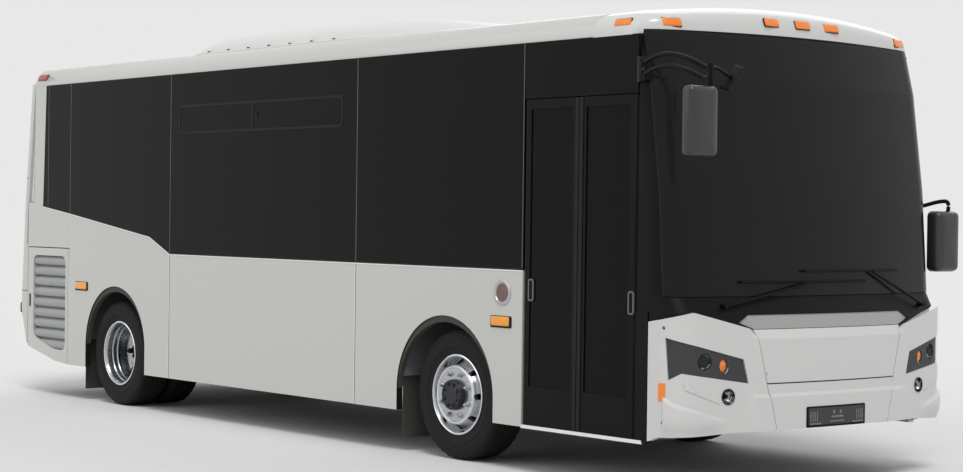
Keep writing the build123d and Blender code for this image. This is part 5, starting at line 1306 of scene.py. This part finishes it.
def cap_height(x, y, rim):
    """The dome's height over a plan point."""
    place = Vector((x, abs(y)))
    reach, front = 9.0, 0.0
    for a, b in zip(rim, rim[1:]):
        start, way = Vector(a), Vector(b) - Vector(a)
        t = min(1.0, max(0.0, (place - start).dot(way) / way.length_squared))
        gap = (place - start - way * t).length
        if gap < reach:
            reach, front = gap, facing(way)
    ahead = ease(x - at(CAP_REAR), 0.03, 0.45)
    low = CAP_FOOT + arch(y) * front
    crown = CAP_CROWN - y * y / CROWN_SAG + arch(y) * ahead
    spread = SIDE_SPREAD + (FRONT_SPREAD - SIDE_SPREAD) * front
    if reach >= spread:
        return crown
    shape = 2.0 + 0.7 * front
    rise = (1 - (1 - reach / spread) ** shape) ** (1 / shape)
    return min(low + (crown - low) * rise, crown)


def dome_spot(y, z):
    """The point of the dome's front at a height, found by stepping back from the rim."""
    rim = cap_rim()
    x = front_point(y, CAP_FOOT, -RIM_IN).x
    while cap_height(x, y, rim) < z:
        x -= 0.0005
    return Vector((x, y, z))


def cap_spot(y, z):
    """The same on the cap's corners, where the dome follows the solid."""
    return front_point(y, z, 0, CAP_PROFILE)


def mirrored_line(half):
    """A line across the cap from its half, which starts in the middle."""
    return [*[(x, -y) for x, y in reversed(half[1:])], *half]


def front_cap():
    rim = cap_rim()
    outline = mirrored_line(rim) + [(at(CAP_REAR), y) for y in (0.8, 0.4, 0.0, -0.4, -0.8)]
    folds = []
    for inset in CAP_INSETS:
        half = [front_point(CORNER_REACH * k / 29, CAP_FOOT, -RIM_IN - inset).xy for k in range(30)]
        half = [tuple(p) for p in half if p.y < HALF - inset + RIM_IN]
        folds.append(mirrored_line([*half, (at(CAP_REAR) + 0.001, HALF - RIM_IN - inset)]))

    def spot(x, y, drop):
        return Vector((x, y, cap_height(x, y, rim) - drop))

    form = Form().add(skin(outline, spot, [], folds, 0.05, rim=0.03))
    piece("front_cap_dome", form, ["mask"], "body", 50, ["front_cap"])
    low, high = [], []
    for k in range(41):
        s = CORNER_REACH * 0.8 * (k / 20 - 1)
        foot = front_point(s, CAP_FOOT, 0.0008)
        way = front_point(s + 0.001, CAP_FOOT) - front_point(s - 0.001, CAP_FOOT)
        low.append((foot.x, foot.y, CAP_FOOT - 0.006))
        high.append((foot.x, foot.y, CAP_FOOT - 0.0005 + arch(foot.y) * facing(way)))
    piece("screen_top_band", Form().add(grid([low, high])), ["gloss_black"], "body", 50)


front_cap()


# Small lamps
LENS_FOOT = -0.004
LENS_LAYERS = ((1.0, 0.35), (0.97, 0.7), (0.90, 0.92), (0.80, 1.0))  # share of the size, and of the height
UP = (0, 0, 1)
ROOF_LEAN = 0.30  # how far the roof's shoulder leans where its lamps sit
CAP_LAMPS = ((-0.271, 2.828, dome_spot), (0, 2.829, dome_spot), (0.271, 2.828, dome_spot),
             (-1.039, 2.786, cap_spot), (1.039, 2.786, cap_spot))
MARKERS = ((1.638, 1.852, 0.904, 0.981), (7.278, 7.506, 0.937, 1.014))  # front, rear, low and high edge
TAIL_LAMPS = ((1.40, 0), (1.235, 2), (1.07, 0))  # height and finish
TAIL_LENS = ((0.062, -0.01), (0.062, 0.004), (0.058, 0.008), (0.040, 0.0125), (0.001, 0.014))
TAIL_SIDE = 0.985


def lamp_block(centre, size, across, up, out, rim=0.004):
    """A moulded lens with round corners on a thin base, along three directions."""
    centre, across, up, out = Vector(centre), Vector(across), Vector(up), Vector(out)
    width, height, proud = size
    least = min(width, height)
    rings = []
    for share, depth in ((1.0, LENS_FOOT), *((share, proud * rise) for share, rise in LENS_LAYERS)):
        inset = (1 - share) * least
        outline = rounded_outline(width - 2 * inset, height - 2 * inset, 0.16 * least * share + 0.001, 4)
        rings.append([centre + across * u + up * v + out * depth for u, v in outline])
    lens = loft(rings)
    rings = []
    for grow, depth in ((rim, LENS_FOOT), (rim, 0.002), (rim * 0.5, 0.0032), (-0.002, 0.0032)):
        outline = rounded_outline(width + 2 * grow, height + 2 * grow, 0.16 * least + max(grow, 0), 4)
        rings.append([centre + across * u + up * v + out * depth for u, v in outline])
    return lens, loft(rings, False)


def roof_lamp(station, side, out, height, size):
    """A lamp on the roof's leaning shoulder, its length along the bus."""
    return lamp_block((at(station), side * out, height), size, (1, 0, 0), (0, -side * ROOF_LEAN, 0.954),
                      (0, side * 0.954, ROOF_LEAN))


def small_lamps():
    amber = Form()
    for y, z, where in CAP_LAMPS:
        up = (where(y, z + 0.017) - where(y, z - 0.017)).normalized()
        across = Vector((y * 0.18 if abs(y) < 1 else -ROOF_LEAN * y / abs(y), 1, 0)).normalized()
        out = across.cross(up)
        lens, base = lamp_block(where(y, z), (0.128, 0.052, 0.014), across, up, out if out.x > 0 else -out)
        amber.add(lens, 0).add(base, 1)
    for side in (-1, 1):
        lens, base = roof_lamp(0.65, side, 1.2000, 2.788, (0.140, 0.046, 0.014))
        amber.add(lens, 0).add(base, 1)
        along = (front_point(side * 1.320, 0.6025) - front_point(side * 1.294, 0.6025)).normalized()
        out = Vector((along.y, -along.x, 0))
        out = out if out.y * side > 0 else -out
        spot = front_point(side * 1.307, 0.6025, 0.001)
        lens, _ = lamp_block(spot, (0.050, 0.107, 0.004), along, UP, out, 0.001)
        amber.add(lens, 0)
        along, out = (1, 0, 0), (0, side, 0)
        for front, rear, low, high in MARKERS:
            heart = Vector((at((front + rear) / 2), side * HALF, (low + high) / 2))
            size = (rear - front - 0.03, high - low - 0.016, 0.012)
            lens, base = lamp_block(heart + Vector((-0.006, 0, 0.004)), size, along, UP, out, 0.0035)
            amber.add(lens, 2).add(base, 1)
            back, _ = lamp_block(heart, (rear - front, high - low, 0.006), along, UP, out, 0.001)
            amber.add(back, 1)
    piece("amber_lamp_set", amber, ["amber", "seal", "yellow"], "body", 40, ["amber_lamps"])
    red = Form()
    for side in (-1, 1):
        lens, base = roof_lamp(8.17, side, 1.2010, 2.786, (0.165, 0.052, 0.014))
        red.add(lens, 0).add(base, 1)
        out = Vector((-1, side * 0.15, 0.03)).normalized()
        across = Vector((0.15 * side, 1, 0)).normalized()
        for height, finish in TAIL_LAMPS:
            red.add(turned(rear_skin(side * TAIL_SIDE, height, 0.002), TAIL_LENS, 32, out, across), finish)
        rings = []
        for grow, proud in ((0.0, -0.006), (0.0, 0.003), (-0.004, 0.005)):
            outline = rounded_outline(0.150 + 2 * grow, 0.52 + 2 * grow, 0.05, 5)
            rings.append([rear_skin(side * TAIL_SIDE + u, 1.235 + v, proud) for u, v in outline])
        red.add(loft(rings), 1)
        spot = rear_skin(side * TAIL_SIDE, 0.82, 0.002)
        lens, base = lamp_block(spot, (0.11, 0.045, 0.008), (0, 1, 0), UP, (-1, 0, 0))
        red.add(lens, 0).add(base, 1)
        across = Vector((0.7, side * 0.7, 0)).normalized()
        out = Vector((-0.7, side * 0.7, 0)).normalized()
        spot = (at(8.566), side * 1.190, 0.745)
        lens, base = lamp_block(spot, (0.060, 0.085, 0.012), across, UP, out)
        red.add(lens, 3).add(base, 1)
    piece("red_lamp_set", red, ["red", "seal", "amber", "amber"], "body", 40, ["red_lamps"])


small_lamps()


# Roof cooler: a moulded hull with a foot, bolts and ribs. Its sections hold (station, half width, top)
COOLER = ((2.482, 0.600, 2.928), (2.60, 0.618, 2.944), (2.90, 0.666, 2.986), (3.25, 0.722, 3.028),
          (3.50, 0.762, 3.045), (3.75, 0.800, 3.0495), (4.08, 0.850, 3.0495), (5.00, 0.850, 3.0495),
          (5.70, 0.850, 3.0495), (5.88, 0.849, 3.044), (6.02, 0.847, 3.026), (6.12, 0.844, 2.998),
          (6.18, 0.840, 2.962), (6.204, 0.836, 2.930))


def cooler_section(wide, top):
    """Half of the hull's cross-section as (side, height), from the foot to the middle."""
    low = 2.888
    foot = min(2.918, low + (top - low) * 0.5)
    step = wide - 0.040
    tall = top - foot
    rows = [(wide, low), (wide, foot - 0.004), (wide - 0.004, foot), (step, foot + 0.001)]
    for k in range(1, 9):
        turn = pi / 2 * k / 8
        rows.append((step - 0.085 * (1 - cos(turn)) - 0.020 * k / 8, foot + tall * sin(turn) * 0.94))
    rows += [(wide * 0.55, foot + tall * 0.975), (wide * 0.25, top - tall * 0.004), (0.0, top)]
    return rows


COOLER_BOLT = ((0.013, -0.008), (0.013, 0.003), (0.009, 0.007), (0.001, 0.009))
FAN_RING = ((0.235, 3.040), (0.235, 3.0490), (0.225, 3.0496), (0.215, 3.0470), (0.205, 3.0440))
UPRIGHT = ((0, 0, 1), (1, 0, 0), (0, 1, 0))  # out, across and up of a knob that stands on the roof


def cooler():
    rings = []
    for station, wide, top in COOLER:
        half = cooler_section(wide, top)
        whole = [(-y, z) for y, z in half] + half[-2::-1]
        rings.append([(at(station), y, z) for y, z in whole])
    form = Form().add(loft(rings), 0)
    for side in (1, -1):
        for k in range(7):
            heart = (at(4.225 + 0.2958 * k), side * (HALF - 0.39), 2.922)
            form.add(turned(heart, COOLER_BOLT, 10, *UPRIGHT), 1)
        for inset, z in ((0.100, 3.012), (0.125, 3.030), (0.155, 3.041)):
            form.add(tube([(at(s), side * (0.850 - inset), z - 0.001) for s in (4.15, 5.80)], 0.006, 8), 0)
    for station in (4.55, 5.17, 5.79):
        x = at(station)
        form.add(turned((x, 0, 0), FAN_RING, 48, *UPRIGHT), 0)
        for k in range(6):
            u, v = 0.215 * cos(pi * k / 6), 0.215 * sin(pi * k / 6)
            form.add(tube([(x - u, -v, 3.0470), (x + u, v, 3.0470)], 0.0022, 6), 1)
    piece("cooler_hull", form, ["cooler", "hub"], "body", 32, ["ac_unit"])


cooler()


# Seats: a foot, a padded cushion and a padded back with a shell behind it. Rows hold (station, floor height)
SEAT_ROWS = ((3.5, 0.72), (4.25, 0.72), (5.0, 0.72), (5.75, 0.72), (6.9, 1.04), (7.6, 1.04))


def padded_slab(low_edge, high_edge, inner, outer, thick, front, round_off=0.03):
    """A cushion between two edges (x, z), thick towards the front vector (x, z), with round edges."""
    a, b = Vector((low_edge[0], 0, low_edge[1])), Vector((high_edge[0], 0, high_edge[1]))
    way, out = (b - a), Vector((front[0], 0, front[1])).normalized()
    rings = []
    for share, depth in ((0.0, 0.004), (0.0, 0.35), (0.25, 0.72), (0.6, 0.93), (1.0, 1.0)):
        inset = round_off * share
        length, wide = way.length - 2 * inset, outer - inner - 2 * inset
        outline = rounded_outline(wide, length, max(0.012, round_off - inset * 0.4), 4)
        heart = (a + b) / 2 + out * thick * depth
        middle = (inner + outer) / 2
        rings.append([heart + Vector((0, middle + u, 0)) + way.normalized() * v for u, v in outline])
    return loft(rings)


def seat(form, station, floor, inner, outer, places):
    middle, wide = (inner + outer) / 2, (outer - inner) / places
    form.add(pillow_box((at(station - 0.23), middle, floor + 0.175), (0.20, 0.24, 0.35), 0.02, 3), 1)
    for k in range(places):
        a, b = inner + k * wide + 0.004, inner + (k + 1) * wide - 0.004
        x, low, high = at(station), floor + 0.35, floor + 0.45
        foot = (x + 0.03, high + 0.005)
        form.add(padded_slab((x + 0.468, low + 0.012), (x + 0.02, low + 0.012), a, b, 0.088, (0, 1)))
        form.add(padded_slab(foot, (x - 0.05, floor + 1.075), a, b, 0.058, (1, 0.13)))
        form.add(padded_slab(foot, (x - 0.05, floor + 1.078), a, b, 0.030, (-1, -0.13), 0.02), 1)
    grip = [(at(station) - 0.04, inner + 0.05, floor + 1.06),
            (at(station) - 0.055, inner + 0.06, floor + 1.079),
            (at(station) - 0.055, outer - 0.06, floor + 1.079),
            (at(station) - 0.04, outer - 0.05, floor + 1.06)]
    form.add(tube(smooth_path(grip, 6), 0.010, 8), 2)


def seats():
    form = Form()
    for station, floor in SEAT_ROWS:
        for side in (1, -1):
            inner, outer = sorted((side * 0.26, side * 1.12))
            seat(form, station, floor, inner, outer, 2)
    seat(form, 8.23, 1.04, -1.12, 1.12, 5)
    seat(form, 1.56, 0.72, 0.38, 0.90, 1)
    piece("passenger_seats", form, ["fabric", "shell", "steel"], "body", 45, ["seats"])


seats()


# Stage, light and camera
def stage():
    reach = 260
    form = Form().add(grid([[(x, y, 0) for x in (-reach, reach)] for y in (-reach, reach)]))
    floor = linked("studio_floor", mesh_of("studio_floor", form))
    floor.data.materials.append(look("studio_floor", tone(226, 226, 226), 0.85, shine=0.1, blotch=0.008,
                                     blotch_size=3.0, depth=0.01, size=0.004))
    world = bpy.data.worlds.new("studio")
    bpy.context.scene.world = world
    world.use_nodes = True
    tree = world.node_tree
    tree.nodes.clear()
    lit = node(tree, "ShaderNodeBackground")
    lit.inputs["Color"].default_value = (1.0, 1.0, 1.0, 1)
    lit.inputs["Strength"].default_value = 0.55
    seen = node(tree, "ShaderNodeBackground")
    seen.inputs["Color"].default_value = (*tone(232, 232, 232), 1)
    seen.inputs["Strength"].default_value = 1.0
    rays = node(tree, "ShaderNodeLightPath")
    shown = rays.outputs["Is Camera Ray"]
    for other in ("Is Glossy Ray", "Is Transmission Ray"):
        either = node(tree, "ShaderNodeMath", operation="MAXIMUM")
        tree.links.new(shown, either.inputs[0])
        tree.links.new(rays.outputs[other], either.inputs[1])
        shown = either.outputs["Value"]
    mixed = node(tree, "ShaderNodeMixShader")
    out = node(tree, "ShaderNodeOutputWorld")
    tree.links.new(shown, mixed.inputs[0])
    tree.links.new(lit.outputs[0], mixed.inputs[1])
    tree.links.new(seen.outputs[0], mixed.inputs[2])
    tree.links.new(mixed.outputs[0], out.inputs[0])


def sun(name, toward, strength, spread):
    """A soft distant lamp that shines along a direction."""
    lamp = bpy.data.lights.new(name, "SUN")
    lamp.energy = strength
    lamp.angle = radians(spread)
    obj = linked(name, lamp)
    obj.rotation_mode = "QUATERNION"
    obj.rotation_quaternion = Vector(toward).to_track_quat("-Z", "Y")


stage()
sun("key", (-0.50, 0.34, -1.0), 1.35, 22)
sun("fill", (0.35, 0.75, -0.45), 0.40, 50)
sun("back", (0.5, -0.7, -0.6), 0.40, 40)


# The camera that was solved from the photo: place, and yaw, pitch and roll in radians
CAMERA_PLACE = (12.6046, -9.57045, 1.6219)
CAMERA_TURN = (2.4631984192, -0.0099924131, 0.0128375852)
CAMERA_LENS = 76.74


def camera():
    yaw, pitch, roll = CAMERA_TURN
    forward = Vector((cos(pitch) * cos(yaw), cos(pitch) * sin(yaw), sin(pitch)))
    right = forward.cross(Vector((0, 0, 1))).normalized()
    up = right.cross(forward)
    aside = cos(roll) * right + sin(roll) * up
    above = -sin(roll) * right + cos(roll) * up
    made = bpy.data.cameras.new("photo_camera")
    made.lens = CAMERA_LENS
    made.sensor_width = 36
    made.clip_end = 1000
    obj = linked("photo_camera", made)
    turn = Matrix((aside, above, -forward)).transposed().to_4x4()
    obj.matrix_world = Matrix.Translation(CAMERA_PLACE) @ turn
    bpy.context.scene.camera = obj


camera()
bpy.context.scene.view_settings.view_transform = "Standard"
